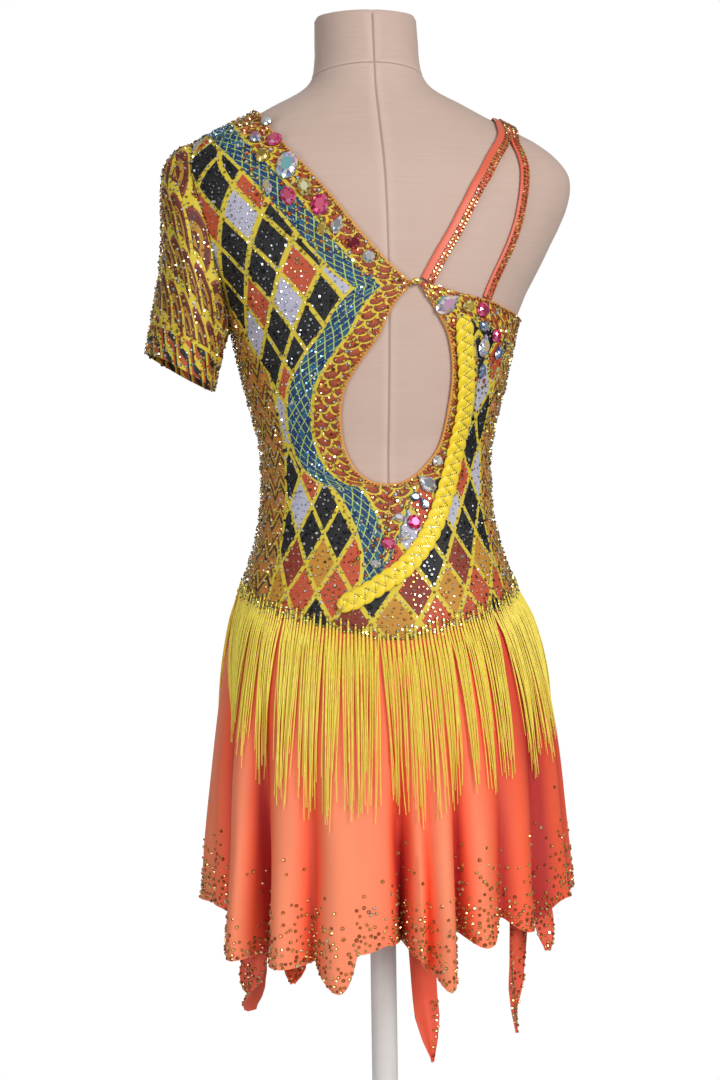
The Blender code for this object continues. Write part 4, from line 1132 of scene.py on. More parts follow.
# Colours of the printed cloth
PRINT_LINE = srgb(240, 216, 60)
PRINT_SCALE = srgb(206, 92, 40)
PRINT_CELLS = {Zone.BLACK: (0.004, 0.004, 0.007), Zone.CORAL: srgb(214, 88, 50),
               Zone.WHITE: srgb(206, 204, 226), Zone.SIDE: srgb(214, 150, 44), Zone.RUST: srgb(150, 50, 30)}
PRINT_STRIPES = (srgb(150, 62, 30), srgb(214, 170, 48), srgb(232, 122, 62), srgb(196, 148, 44),
                 srgb(96, 36, 28), srgb(222, 188, 60))
PRINT_RINGS = (srgb(92, 30, 26), srgb(196, 146, 46), srgb(110, 42, 32), srgb(156, 66, 46))
PRINT_SOFT = 0.0003     # how softly its bands end, in metres


@dataclass(frozen=True)
class Print:
    """The bodice's printed cloth: scales and small diamonds in bands, then harlequin, then chevrons."""

    name: str = "bodice_print"
    scale_band: float = 0.026
    small_band: float = 0.054
    border: float = 0.0019
    scale_radius: float = 0.0085
    small_diamond: tuple[float, float] = (0.0085, 0.014)
    diamond: tuple[float, float] = (0.033, 0.056)
    chevron: tuple[float, float] = (0.024, 0.03)
    diamond_line: float = 0.075
    side_reach: float = 0.122
    side_level: float = 0.1
    side_slant: float = 0.8
    cells: tuple[Zone, ...] = (Zone.BLACK, Zone.CORAL, Zone.BLACK, Zone.WHITE, Zone.BLACK)
    low_cells: tuple[Zone, ...] = (Zone.CORAL, Zone.SIDE, Zone.BLACK, Zone.CORAL, Zone.RUST)
    low_row: int = -3

    def zones(self, maps: dict[str, Array]) -> Array:
        """Which zone of the print each place is in.

        Args:
            maps: the edge and cloth coordinates of the places.

        Returns:
            Zone values.
        """
        inner = maps["edge"][..., 0]
        x, y = maps["cloth"][..., 0], maps["cloth"][..., 1]
        a = x / self.diamond[0] + y / self.diamond[1]
        b = x / self.diamond[0] - y / self.diamond[1]
        away = np.minimum(0.5 - np.abs(a % 1.0 - 0.5), 0.5 - np.abs(b % 1.0 - 0.5))
        index = ((np.floor(a) + 2.0 * np.floor(b)) % 5.0).astype(int)
        high, low = (np.array([cell.value for cell in cells])[index]
                     for cells in (self.cells, self.low_cells))
        zone = np.where(np.floor(a) - np.floor(b) < self.low_row + 0.5, low, high)
        side = np.abs(x) - self.side_reach - np.maximum(y - self.side_level, 0.0) * self.side_slant
        borders = [np.abs(inner - at) < self.border for at in (self.scale_band, self.small_band)]
        for here, found in ((away < self.diamond_line, Zone.LINE), (side > 0.0, Zone.SIDE),
                            (inner < self.small_band, Zone.BLUE), (inner < self.scale_band, Zone.RUST),
                            (borders[0] | borders[1], Zone.LINE)):
            zone = np.where(here, found.value, zone)
        return zone

    def make(self) -> Material:
        """Build the material.

        Returns:
            The material.
        """
        g = new_look(self.name)
        edge, body = g.uv("edge"), g.uv("cloth")
        inner, (x, y) = g.parts(edge)[0], g.parts(body)
        big = EFFECTS.use(g, Group.HARLEQUIN, Vector=body, Width=self.diamond[0], Height=self.diamond[1],
                          Line=self.diamond_line)
        here = (big["Index"] + 0.5) / 5.0
        high, low = (g.steps(here, [PRINT_CELLS[cell] for cell in cells])
                     for cells in (self.cells, self.low_cells))
        colour = g.mix(g.math("LESS_THAN", big["Row"], self.low_row + 0.5), high, low)
        colour = g.mix(big["Line"], colour, PRINT_LINE)
        stripes = EFFECTS.use(g, Group.CHEVRONS, Vector=body, Width=self.chevron[0], Height=self.chevron[1])
        rise = g.math("MAXIMUM", y - self.side_level, 0.0) * self.side_slant
        past = abs(x) - (rise + self.side_reach)
        colour = g.mix(g.near(past, 0.0004, 0.0), g.steps(stripes["Share"], PRINT_STRIPES), colour)
        colour = g.mix(g.near(abs(past), PRINT_SOFT, self.border), colour, PRINT_LINE)
        small = EFFECTS.use(g, Group.HARLEQUIN, Vector=edge, Width=self.small_diamond[0],
                            Height=self.small_diamond[1], Line=0.07)
        blue = g.mix(g.math("LESS_THAN", small["Index"], 1.0), srgb(14, 66, 118), srgb(24, 104, 140))
        blue = g.mix(small["Line"], blue, srgb(196, 220, 110))
        scale = EFFECTS.use(g, Group.SCALES, Vector=edge, Radius=self.scale_radius, Line=0.13)
        rust = g.mix(scale["Line"], g.mix(scale["Ring"], PRINT_SCALE, srgb(126, 44, 28)), PRINT_LINE)
        for band, filled in ((self.small_band, blue), (self.scale_band, rust)):
            colour = g.mix(g.near(inner, PRINT_SOFT, band), colour, filled)
        for band in (self.scale_band, self.small_band):
            colour = g.mix(g.near(abs(inner - band), PRINT_SOFT, self.border), colour, PRINT_LINE)
        return finish_print(g, colour, body)


def finish_print(g: Graph, colour: Value, body: Value) -> Material:
    """Give printed cloth its knit, glitter and unevenness.

    Args:
        g: the material's graph.
        colour: the print's colour.
        body: the cloth's coordinates.

    Returns:
        The material.
    """
    height = EFFECTS.use(g, Group.KNIT, Vector=body, Threads=1000.0)["Height"]
    grains = g.out("TexVoronoi", {"Vector": g.spot(), "Scale": 900.0}, "Distance")
    glint = g.near(grains, 0.04, 0.16)
    shade = g.steps(g.uneven(30.0, 0.7) - 0.5, ((0.62, 0.62, 0.62), WHITE), smooth=True)
    colour = g.mix(1.0, colour, shade, "MULTIPLY")
    colour = g.mix(glint * 0.3, colour, g.mix(0.6, colour, (1.0, 0.92, 0.6)))
    return g.dress(colour, 0.62 - glint * 0.3, g.bump(height + glint, 0.35, 0.0002), Sheen_Weight=0.02)


@dataclass(frozen=True)
class SleevePrint:
    """The sleeve's printed cloth: large golden scales on brown, with a chevron cuff."""

    name: str = "sleeve_print"
    radius: float = 0.021
    line: float = 0.15
    cuff: float = 0.03
    border: float = 0.0018
    chevron: tuple[float, float] = (0.022, 0.02)

    def zones(self, maps: dict[str, Array]) -> Array:
        """Which zone of the print each place is in.

        Args:
            maps: the edge and cloth coordinates of the places.

        Returns:
            Zone values.
        """
        across, down = maps["cloth"][..., 0] / (2 * self.radius), maps["cloth"][..., 1] / self.radius
        odd = (np.floor(down) % 2.0) * 0.5
        x, y = ((across + odd) % 1.0 - 0.5) * 2.0, down % 1.0
        plain = np.where(maps["edge"][..., 0] < self.cuff, Zone.SIDE.value, Zone.RUST.value)
        return np.where(np.abs(np.hypot(x, y) - 1.0) < self.line, Zone.LINE.value, plain)

    def make(self) -> Material:
        """Build the material.

        Returns:
            The material.
        """
        g = new_look(self.name)
        inner, body = g.parts(g.uv("edge"))[0], g.uv("cloth")
        scale = EFFECTS.use(g, Group.SCALES, Vector=body, Radius=self.radius, Line=self.line)
        colour = g.mix(scale["Line"], g.steps(scale["Ring"], PRINT_RINGS), PRINT_LINE)
        stripes = EFFECTS.use(g, Group.CHEVRONS, Vector=body, Width=self.chevron[0], Height=self.chevron[1])
        cuff = g.steps(stripes["Share"], (PRINT_LINE, PRINT_SCALE, (0.01, 0.01, 0.014)))
        colour = g.mix(g.near(inner, PRINT_SOFT, self.cuff), colour, cuff)
        colour = g.mix(g.near(abs(inner - self.cuff), PRINT_SOFT, self.border), colour, PRINT_LINE)
        return finish_print(g, colour, body)


@dataclass(frozen=True)
class Cover:
    """The dress form's woven cover, with slubs, a faint lighter band along its seams and its seams'
    stitches.
    """

    name: str = "form_cover"
    colour: Rgb = srgb(211, 187, 174)
    shade: Rgb = srgb(189, 161, 148)
    stitch: Rgb = srgb(120, 92, 80)
    lighter_band: Rgb = srgb(238, 218, 204)
    threads: float = 1150.0

    def make(self) -> Material:
        """Build the material.

        Returns:
            The material.
        """
        g = new_look(self.name)
        cloth = g.uv("cloth")
        height = EFFECTS.use(g, Group.WEAVE, Vector=cloth, Threads=self.threads)["Height"]
        slub = g.noise(g.out("Mapping", {"Vector": cloth, "Scale": (14.0, 520.0, 1.0)}), 1.0)
        colour = g.mix((g.uneven(7.0, 0.8) - 0.5) * 0.6 + slub * 0.5, self.shade, self.colour)
        from_seam = abs(g.parts(g.uv("seam"))[0])
        colour = g.mix(g.near(from_seam, 0.0002, 0.0005) * 0.7, colour, self.stitch)
        # A faint lighter band along each seam.
        colour = g.mix(g.near(from_seam, 0.0025, 0.003) * 0.16, colour, self.lighter_band)
        return g.dress(colour, 0.86, g.bump(height * 0.5 + slub * 0.8, 0.3, 0.00025), Sheen_Weight=0.2,
                       Sheen_Roughness=0.5)


COVER = Cover()
BODICE_PRINT = Print()
SLEEVE_PRINT = SleevePrint()
# CORAL's deep colour is painted shade in the fold troughs and at the sides, and its ridge colour a painted
# highlight on the ridges.
CORAL = Cloth("coral_satin", srgb(254, 92, 44), srgb(192, 18, 4), roughness=0.62, sheen=0.01, threads=800.0,
              bump=0.18, ridge_highlight=srgb(255, 138, 94))
CORAL_POINT = Cloth("coral_point", srgb(248, 96, 54), srgb(214, 56, 28), sheen=0.08, threads=800.0,
                    bump=0.18)
EDGE_GOLD = Cloth("edge_satin", srgb(240, 176, 62), srgb(206, 122, 34), 0.45, 0.2, 1200.0)
BINDING = Cloth("binding_satin", srgb(240, 108, 72), srgb(206, 72, 42), 0.45, 0.2, 1200.0)
PLAIT = Cloth("plait_satin", srgb(255, 232, 36), srgb(242, 204, 16), 0.4, 0.3, 1400.0, bump=0.2, map="cord")
PLAIT_BACK = Cloth("plait_backing", srgb(240, 205, 20), srgb(206, 160, 8), threads=1400.0)
FRINGE_CORD = Cord("fringe_cord", srgb(255, 246, 104), srgb(238, 196, 28))
STONE = CutStone("set_stones")
JEWEL = CutStone("set_jewels", roughness=0.07, metallic=0.58, coat=0.3)
STAND_PAINT = Paint("stand_paint", srgb(243, 241, 238))
FLOOR_PAINT = Paint("floor_paint", srgb(244, 243, 240), roughness=0.7)
FINISHES: dict[str, Material] = {}


def finish(kind: object) -> Material:
    """The material of a finish, built once."""
    if kind.name not in FINISHES:
        FINISHES[kind.name] = kind.make()
    return FINISHES[kind.name]


def deselect() -> None:
    """Leave nothing selected before a primitive is added."""
    bpy.ops.object.select_all(action="DESELECT")


def to_arrays(piece: Piece) -> tuple[Array, Faces]:
    """A small modelled piece's points and faces, after which the piece is removed.

    Args:
        piece: the piece, at its real size.

    Returns:
        Its points and its faces.
    """
    points = np.array([piece.matrix_world @ vertex.co for vertex in piece.data.vertices])
    faces = [tuple(polygon.vertices) for polygon in piece.data.polygons]
    mesh = piece.data
    bpy.data.objects.remove(piece)
    bpy.data.meshes.remove(mesh)
    return points, faces


def cut_stone(sides: int, table: float, girdle: float) -> tuple[Array, Faces]:
    """Model one faceted stone, one metre across and one high, its foot at 0.

    Args:
        sides: how many sides its girdle has.
        table: the flat top's share of the width.
        girdle: how high the upright edge is, as a share of the height.

    Returns:
        Its points and faces.
    """
    deselect()
    bpy.ops.mesh.primitive_cylinder_add(vertices=sides, radius=0.5, depth=girdle,
                                        location=(0, 0, girdle / 2))
    piece = bpy.context.object
    bpy.ops.object.mode_set(mode="EDIT")
    bpy.ops.mesh.select_all(action="DESELECT")
    bpy.ops.object.mode_set(mode="OBJECT")
    for polygon in piece.data.polygons:
        polygon.select = polygon.normal.z > 0.9
    bpy.ops.object.mode_set(mode="EDIT")
    bpy.ops.mesh.extrude_region_move(TRANSFORM_OT_translate={"value": (0, 0, 1.0 - girdle)})
    bpy.ops.transform.resize(value=(table, table, 1.0))
    bpy.ops.object.mode_set(mode="OBJECT")
    points, faces = to_arrays(piece)
    # Extrude leaves the faces in an order that changes from run to run, and the glints go by that order
    firsts = [face.index(min(face)) for face in faces]
    return points, sorted(face[first:] + face[:first] for face, first in zip(faces, firsts))


def brilliant(sides: int) -> tuple[Array, Faces]:
    """Model one large stone with a star of facets round its table.

    Args:
        sides: how many sides its girdle has.

    Returns:
        Its points and faces, one metre across and one high.
    """
    girdle = 0.25
    points, _ = cut_stone(sides, 0.5, girdle)
    turn = np.arctan2(points[:, 1], points[:, 0])
    order = [np.flatnonzero(np.abs(points[:, 2] - level) < 0.01) for level in (0.0, girdle, 1.0)]
    foot, edge, table = [points[ring[np.argsort(turn[ring])]] for ring in order]
    half = math.pi / sides
    spin = np.array([[math.cos(half), -math.sin(half), 0], [math.sin(half), math.cos(half), 0], [0, 0, 1.0]])
    star = (edge @ spin.T) * (0.8, 0.8, 1.0) + (0.0, 0.0, 0.42)
    faces = [tuple(range(sides))[::-1]]
    for k in range(sides):
        n = (k + 1) % sides
        one, two, three = sides, 2 * sides, 3 * sides
        faces += [(k, n, one + n, one + k), (one + k, one + n, two + k), (two + k, one + n, two + n),
                  (two + k, two + n, three + n), (two + k, three + n, three + k)]
    faces.append(tuple(range(3 * sides, 4 * sides)))
    return np.concatenate([foot, edge, star, table]), faces


@dataclass(frozen=True)
class Palette:
    """Stone colours with the share of each."""

    colours: Sequence[Rgb]
    shares: Sequence[float]

    def pick(self, count: int, rng: np.random.Generator) -> Array:
        """Colours for that many stones."""
        shares = np.array(self.shares, float)
        chosen = rng.choice(len(self.colours), count, p=shares / shares.sum())
        return np.array(self.colours)[chosen]


JET = (0.03, 0.03, 0.038)
HEMATITE = (0.12, 0.12, 0.14)
GOLD = (0.78, 0.52, 0.1)
CHAMPAGNE = (0.8, 0.66, 0.36)
COPPER = (0.62, 0.22, 0.06)
HYACINTH = (0.8, 0.14, 0.04)
CRYSTAL = (0.86, 0.88, 0.92)
SAPPHIRE = (0.04, 0.12, 0.42)
ZIRCON = (0.1, 0.36, 0.55)
PERIDOT = (0.52, 0.62, 0.16)
ROSE = (0.95, 0.04, 0.22)
AURORA = ((0.9, 0.95, 1.0), (0.35, 0.8, 0.85), (0.55, 0.5, 0.95), (0.95, 0.75, 0.35), (0.9, 0.5, 0.75))

ZONE_STONES: dict[int, Palette] = {
    Zone.LINE.value: Palette((GOLD, CHAMPAGNE, PERIDOT, CRYSTAL), (5, 2, 1, 1)),
    Zone.RUST.value: Palette((COPPER, HYACINTH, GOLD, CHAMPAGNE, CRYSTAL), (4, 2, 2, 1, 1)),
    Zone.BLUE.value: Palette((SAPPHIRE, ZIRCON, CRYSTAL), (5, 3, 1)),
    Zone.BLACK.value: Palette((JET, (0.045, 0.045, 0.055), HEMATITE, CRYSTAL), (5, 5, 2, 0.35)),
    Zone.WHITE.value: Palette((CRYSTAL, (0.7, 0.7, 0.86)), (3, 2)),
    Zone.CORAL.value: Palette((COPPER, HYACINTH, CHAMPAGNE, CRYSTAL), (4, 2, 2, 1)),
    Zone.SIDE.value: Palette((GOLD, COPPER, CHAMPAGNE, JET, CRYSTAL), (5, 2, 4, 0.5, 1)),
}


@dataclass(frozen=True)
class Glints:
    """Painted glints: how much lighter or darker the facets round a stone and its table are painted, against
    its colour.
    """

    sides: Sequence[float] = (0.2, 0.34, 0.6, 1.0, 2.2)
    tables: Sequence[float] = (0.35, 0.75, 1.2, 1.8, 2.8)
    spark: float = 0.28


# Sets of painted glints for the small stones.
GLASS_GLINTS = Glints()
COPPERY_GLINTS = Glints((0.24, 0.34, 0.5, 0.75, 1.2), (0.9, 1.2, 1.5, 1.9, 2.6), 0.16)
EMBER_GLINTS = Glints((0.26, 0.38, 0.52, 0.72, 1.0), (0.8, 1.0, 1.25, 1.6, 2.4), 0.16)
HEM_GLINTS = Glints((0.42, 0.55, 0.7, 0.9, 1.2), (0.9, 1.15, 1.45, 1.9, 2.6), 0.16)


@dataclass(frozen=True)
class StoneMix:
    """Which small stones are sewn on a piece: their colours, widths and cut."""

    palette: Optional[Palette] = None       # with none, the print's zones give the colours
    widths: Sequence[float] = (0.0025, 0.0031, 0.0036, 0.0044)
    shares: Sequence[float] = (0.4, 0.34, 0.18, 0.08)
    round: bool = False
    glints: Glints = GLASS_GLINTS


PRINT_MIX = StoneMix()
FILLER_MIX = StoneMix(Palette((COPPER, HYACINTH, GOLD, CHAMPAGNE, CRYSTAL, PERIDOT), (6, 5, 4, 2, 2, 1)),
                      (0.0041, 0.0046, 0.0052), (0.4, 0.4, 0.2), True, COPPERY_GLINTS)
WARM = (COPPER, GOLD, HYACINTH, CHAMPAGNE)
BINDING_MIX = StoneMix(Palette(WARM, (4, 3, 2, 1)), (0.0024, 0.0029), (0.6, 0.4), glints=COPPERY_GLINTS)
STRAP_MIX = StoneMix(Palette(WARM, (6, 2, 2, 1)), (0.0034, 0.0038), (0.6, 0.4), True, EMBER_GLINTS)
BRAID_MIX = StoneMix(Palette((PERIDOT, GOLD, (0.3, 0.36, 0.24), CRYSTAL), (4, 2, 3, 1)), (0.0016,), (1.0,))
HEM_PALETTE = Palette(((0.66, 0.28, 0.06), (0.46, 0.15, 0.035), (0.8, 0.46, 0.12), (0.92, 0.7, 0.36)),
                      (5, 4, 3, 1))
HEM_MIX = StoneMix(HEM_PALETTE, (0.0031, 0.0036, 0.0041), (0.4, 0.4, 0.2), True, HEM_GLINTS)
POINT_MIX = StoneMix(HEM_PALETTE, (0.003, 0.0035, 0.004), (0.4, 0.4, 0.2), True, HEM_GLINTS)
ROOT_MIX = StoneMix(Palette((GOLD, PERIDOT, COPPER, CHAMPAGNE), (5, 3, 2, 2)), round=True, glints=COPPERY_GLINTS)


def tinted_with_glints(piece: Piece, corners: Array) -> Piece:
    """Give each corner of a piece its colour with painted glints, and make its facets flat.

    Args:
        piece: the piece.
        corners: one colour for each corner.

    Returns:
        The same piece.
    """
    layer = piece.data.color_attributes.new("tint_and_glints", "FLOAT_COLOR", "CORNER")
    full = np.concatenate([corners, np.ones((len(corners), 1))], 1)
    layer.data.foreach_set("color", full.astype(np.float32).ravel())
    piece.data.shade_flat()
    return piece


class StoneSetter:
    """Sets copies of a modelled stone on cloth as one piece."""

    def __init__(self) -> None:
        """Model the stones that are copied."""
        deselect()
        bpy.ops.mesh.primitive_cone_add(vertices=6, radius1=0.5, radius2=0.29, depth=1.0,
                                        location=(0, 0, 0.5))
        self.small = to_arrays(bpy.context.object)
        self.round = cut_stone(8, 0.52, 0.28)

    def set(self, name: str, found: Samples, sizes: Array, colours: Array, seed: int,
            mix: StoneMix) -> Piece:
        """Copy the stone to every place.

        Args:
            name: the piece's name.
            found: where the stones sit.
            sizes: each stone's width in metres.
            colours: each stone's colour.
            seed: which set of turns and glints.
            mix: gives the stones' cut and glints.

        Returns:
            The piece, fixed to the model.
        """
        rng = np.random.default_rng(seed)
        points, faces = self.round if mix.round else self.small
        count, glints = len(sizes), mix.glints
        normal = unit(found.normals + rng.normal(0.0, 0.05, (count, 3)))
        first = unit(np.cross(normal, rng.normal(0.0, 1.0, (count, 3))))
        second = np.cross(normal, first)
        height = np.minimum(sizes * 0.42, 0.0016)[:, None, None]
        scale = np.concatenate([np.broadcast_to(sizes[:, None, None], (count, 1, 2)), height], 2)
        local = points[None] * scale
        world = (found.points[:, None] + local[..., 0:1] * first[:, None] + local[..., 1:2] * second[:, None]
                 + local[..., 2:3] * normal[:, None])
        facets = np.repeat(np.arange(len(faces)), [len(face) for face in faces])
        copies = np.arange(count)[:, None]
        loops = np.concatenate(faces)[None] + copies * len(points)
        starts = np.searchsorted(facets, np.arange(len(faces)))[None] + copies * len(facets)
        piece = new_piece(name, world.reshape(-1, 3), loops.ravel(), starts.ravel(), finish(STONE))
        table = np.array([points[list(face), 2].min() > 0.9 for face in faces])
        # Facets made lighter or darker than the stone's colour at random, with white added to the brightest:
        # painted glints and painted dark facets.
        sides = rng.choice(glints.sides, (count, len(faces)), p=[0.3, 0.26, 0.22, 0.13, 0.09])
        tops = rng.choice(glints.tables, (count, len(faces)), p=[0.24, 0.26, 0.22, 0.16, 0.12])
        light = np.where(table, tops, sides)[..., None]
        lit = colours[:, None] * light + np.maximum(light - 1.2, 0.0) * glints.spark
        return place(tinted_with_glints(piece, np.clip(lit[:, facets], 0.0, 1.0).reshape(-1, 3)))

    def sew(self, name: str, found: Samples, mix: StoneMix, seeds: tuple[int, int, int],
            zone: Optional[Array] = None) -> Piece:
        """Sew a mix of stones to cloth.

        Args:
            name: the piece's name.
            found: where the stones sit.
            mix: which stones.
            seeds: for their colours, their widths, and their turns and glints.
            zone: the print's zone at each place, where the print gives the colours.

        Returns:
            The piece.
        """
        count, rng = len(found.points), np.random.default_rng(seeds[0])
        sizes = np.random.default_rng(seeds[1]).choice(mix.widths, count, p=mix.shares)
        if mix.palette:
            return self.set(name, found, sizes, mix.palette.pick(count, rng), seeds[2], mix)
        colours = np.zeros((count, 3))
        for value, palette in ZONE_STONES.items():
            here = zone == value
            colours[here] = palette.pick(int(here.sum()), rng)
        sizes = sizes * np.where(zone == Zone.BLACK.value, 1.22, 1.0)
        return self.set(name, found, sizes, colours, seeds[2], mix)


def place(piece: Piece, *nodes: str, slot: Optional[str] = None) -> Piece:
    """Fix a piece to the model, standing for the given solids.

    Args:
        piece: the piece.
        nodes: the solids that it replaces.
        slot: the record's material slot; not used.

    Returns:
        The piece.
    """
    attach(piece, "root")
    if nodes:
        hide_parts(*nodes)
    return piece


@dataclass
class DressForm:
    """The limbless form under the dress, in its woven cover."""

    step: float = 2.2
    seam_angles: tuple[float, ...] = (-1.7, -1.2, -0.8, -0.45, -0.22, 0.0, 0.22, 0.45, 0.8, 1.2, 1.7)
    seam_rows: tuple[float, ...] = (-0.0028, -0.0016, -0.0008, 0.0, 0.0008, 0.0016, 0.0028)
    neck_seam: float = 0.3955
    neck_seam_rise: float = 0.0095
    groove: float = 0.0008
    welt: float = 0.00035

    def build(self) -> Piece:
        """Build the covered form.

        Returns:
            The piece.
        """
        sides = np.arange(self.step + 1.0, 360.0 - self.step, self.step)
        angles = np.concatenate([[a for a in self.seam_angles if a >= 0], sides,
                                 [a + 360.0 for a in self.seam_angles if a < 0]])
        nominal = np.concatenate([np.linspace(FORM_FOOT + 0.006, self.neck_seam - 0.004, 150),
                                  self.neck_seam + np.array(self.seam_rows),
                                  np.linspace(self.neck_seam + 0.005, NECK_TOP - 0.004, 18)])
        window = np.exp(-((nominal - self.neck_seam) / 0.03) ** 2)
        window *= smoothstep((NECK_TOP - 0.004 - nominal) / 0.02)
        rise = self.neck_seam_rise * np.cos(np.radians(angles))
        heights = nominal[:, None] + window[:, None] * rise[None, :]
        wide = np.broadcast_to(angles, heights.shape)
        points = BODY.skin(wide, heights)
        normal = BODY.slopes(wide, heights)[2]
        back = ((wide + 180.0) % 360.0) - 180.0
        radius = np.linalg.norm(points[..., :2], axis=-1)
        to_back = np.radians(back) * radius
        to_neck = heights - self.neck_seam - rise[None, :]
        nearest = np.where(np.abs(to_back) < np.abs(to_neck), to_back, to_neck)
        off = -self.groove * np.exp(-((nearest / 0.0007) ** 2))
        off += self.welt * np.exp(-(((np.abs(nearest) - 0.003) / 0.0016) ** 2))
        off += 0.0003 * ripple(to_back / 0.09, heights / 0.07, 11)
        points = points + normal * off[..., None]
        ends = []
        for level, drop, shares in ((0, -0.006, (0.0, 0.55, 0.9, 0.965)),
                                    (-1, 0.004, (0.955, 0.88, 0.5, 0.0))):
            middle = points[level].mean(0)
            for share in shares:
                flat = middle + (points[level] - middle) * max(share, 0.002)
                ends.append(flat + (0, 0, drop * (1.0 if share > 0.6 else 0.85)))
        rings = np.concatenate([np.array(ends[:4]), points, np.array(ends[4:])])[::-1] + (0.0, 0.0, WAIST)
        around = np.concatenate([np.radians(angles) * 0.13, [2 * math.pi * 0.13]])
        cloth = np.stack([np.broadcast_to(around, (len(rings), len(around))),
                          np.concatenate([rings[..., 2], rings[:, :1, 2]], 1)], -1)
        far = np.full((4, len(around)), 0.05)
        close = np.concatenate([far, np.concatenate([nearest, nearest[:, :1]], 1), far])[::-1]
        maps = {"cloth": cloth[None], "seam": np.stack([close, cloth[..., 1]], -1)[None]}
        piece = ring_solids("form_cover", rings[None], maps, finish(COVER), 45, carried=True)
        return place(piece, "form_torso", slot="linen")


@dataclass
class Stand:
    """The round base and the pole."""

    base_radius: float = 0.17
    base_thickness: float = 0.012
    pole_radius: float = 0.013

    def build(self) -> list[Piece]:
        """Build both pieces.

        Returns:
            The pieces.
        """
        pieces = []
        foot, head = self.base_thickness + GAP, WAIST + FORM_FOOT - GAP
        for name, node, radius, low, high, edge, sides in (
                ("base_disc", "stand_base", self.base_radius, 0.0, self.base_thickness, 0.003, 160),
                ("pole_tube", "stand_pole", self.pole_radius, foot, head, 0.0008, 64)):
            deselect()
            bpy.ops.mesh.primitive_cylinder_add(vertices=sides, radius=radius, depth=high - low,
                                                location=(0, 0, (low + high) / 2))
            piece = bpy.context.object
            piece.name = name
            bpy.ops.object.transform_apply(location=True, rotation=False, scale=False)
            soften = piece.modifiers.new("edge", "BEVEL")
            soften.width, soften.segments, soften.limit_method = edge, 4, "ANGLE"
            bpy.ops.object.modifier_apply(modifier="edge")
            bpy.ops.object.shade_smooth_by_angle(angle=math.radians(40))
            piece.data.materials.append(finish(STAND_PAINT))
            pieces.append(place(piece, node, slot="paint"))
        return pieces


def neckline(offset: float, back: int, front: int, right: int) -> tuple[Array, Array, Array, Array]:
    """The neckline from the back closure over the shoulder and under the arm, moved into the cloth.

    Args:
        offset: metres into the cloth.
        back: places along the back part.
        front: places along the front part.
        right: places along the bare-shoulder part.

    Returns:
        The whole line, then its back part from the shoulder, its front part, and its right part.
    """
    left = BODY.along(NECK_BACK, back)[::-1]
    over = BODY.along(NECK_FRONT, front)
    bare = BODY.along([(angle + 360.0, height) for angle, height in TOP_RIGHT], right)
    line = BODY.beside(joined(left, over, bare), -offset)
    shoulder, under_arm = back - 1, back + front - 2
    return line, line[:shoulder + 1][::-1], line[shoulder:under_arm + 1], line[under_arm:]


def keyhole(offset: float, steps: int) -> tuple[Array, Array]:
    """The keyhole's left and right edges from the top, moved into the cloth.

    Args:
        offset: how far into the cloth, in metres.
        steps: places down each edge.

    Returns:
        The left and the right edge's places.
    """
    down = BODY.along(KEYHOLE_LEFT, steps)
    up = BODY.along(KEYHOLE_RIGHT, steps)[::-1]
    line = BODY.beside(joined(down, up), offset)
    return line[:steps], line[steps - 1:][::-1]


def mitred(tip: Array, first: Array, second: Array) -> Array:
    """Where two edges meet after each is moved in from their shared tip.

    Args:
        tip: the place where the edges met.
        first: the first edge's end, moved in.
        second: the second edge's end, moved in.

    Returns:
        The new tip's place.
    """
    seat = BODY.point(tip, CLOTH_OUT)
    one, two = BODY.point(first, CLOTH_OUT) - seat, BODY.point(second, CLOTH_OUT) - seat
    cosine = np.dot(one, two) / (np.linalg.norm(one) * np.linalg.norm(two))
    return tip + ((first + second) / 2 - tip) * 2.0 / (1.0 + cosine)


def side_seam(angle: float, top: float, foot: float, count: int) -> Array:
    """A side seam as places, from top to foot."""
    return np.stack([np.full(count, angle), np.linspace(top, foot, count)], 1)


def from_jewels(points: Array) -> Array:
    """How far each point is from the rim of the nearest large stone, in metres."""
    seats = BODY.point(np.array([row[:2] for row in STONES], float), CLOTH_OUT)
    reach = np.array([(row[2] + row[3]) / 4 for row in STONES])
    return (np.linalg.norm(points[:, None] - seats[None], axis=2) - reach[None]).min(1)


@dataclass
class SewnPart:
    """A part of the dress with small stones sewn on."""

    setter: StoneSetter


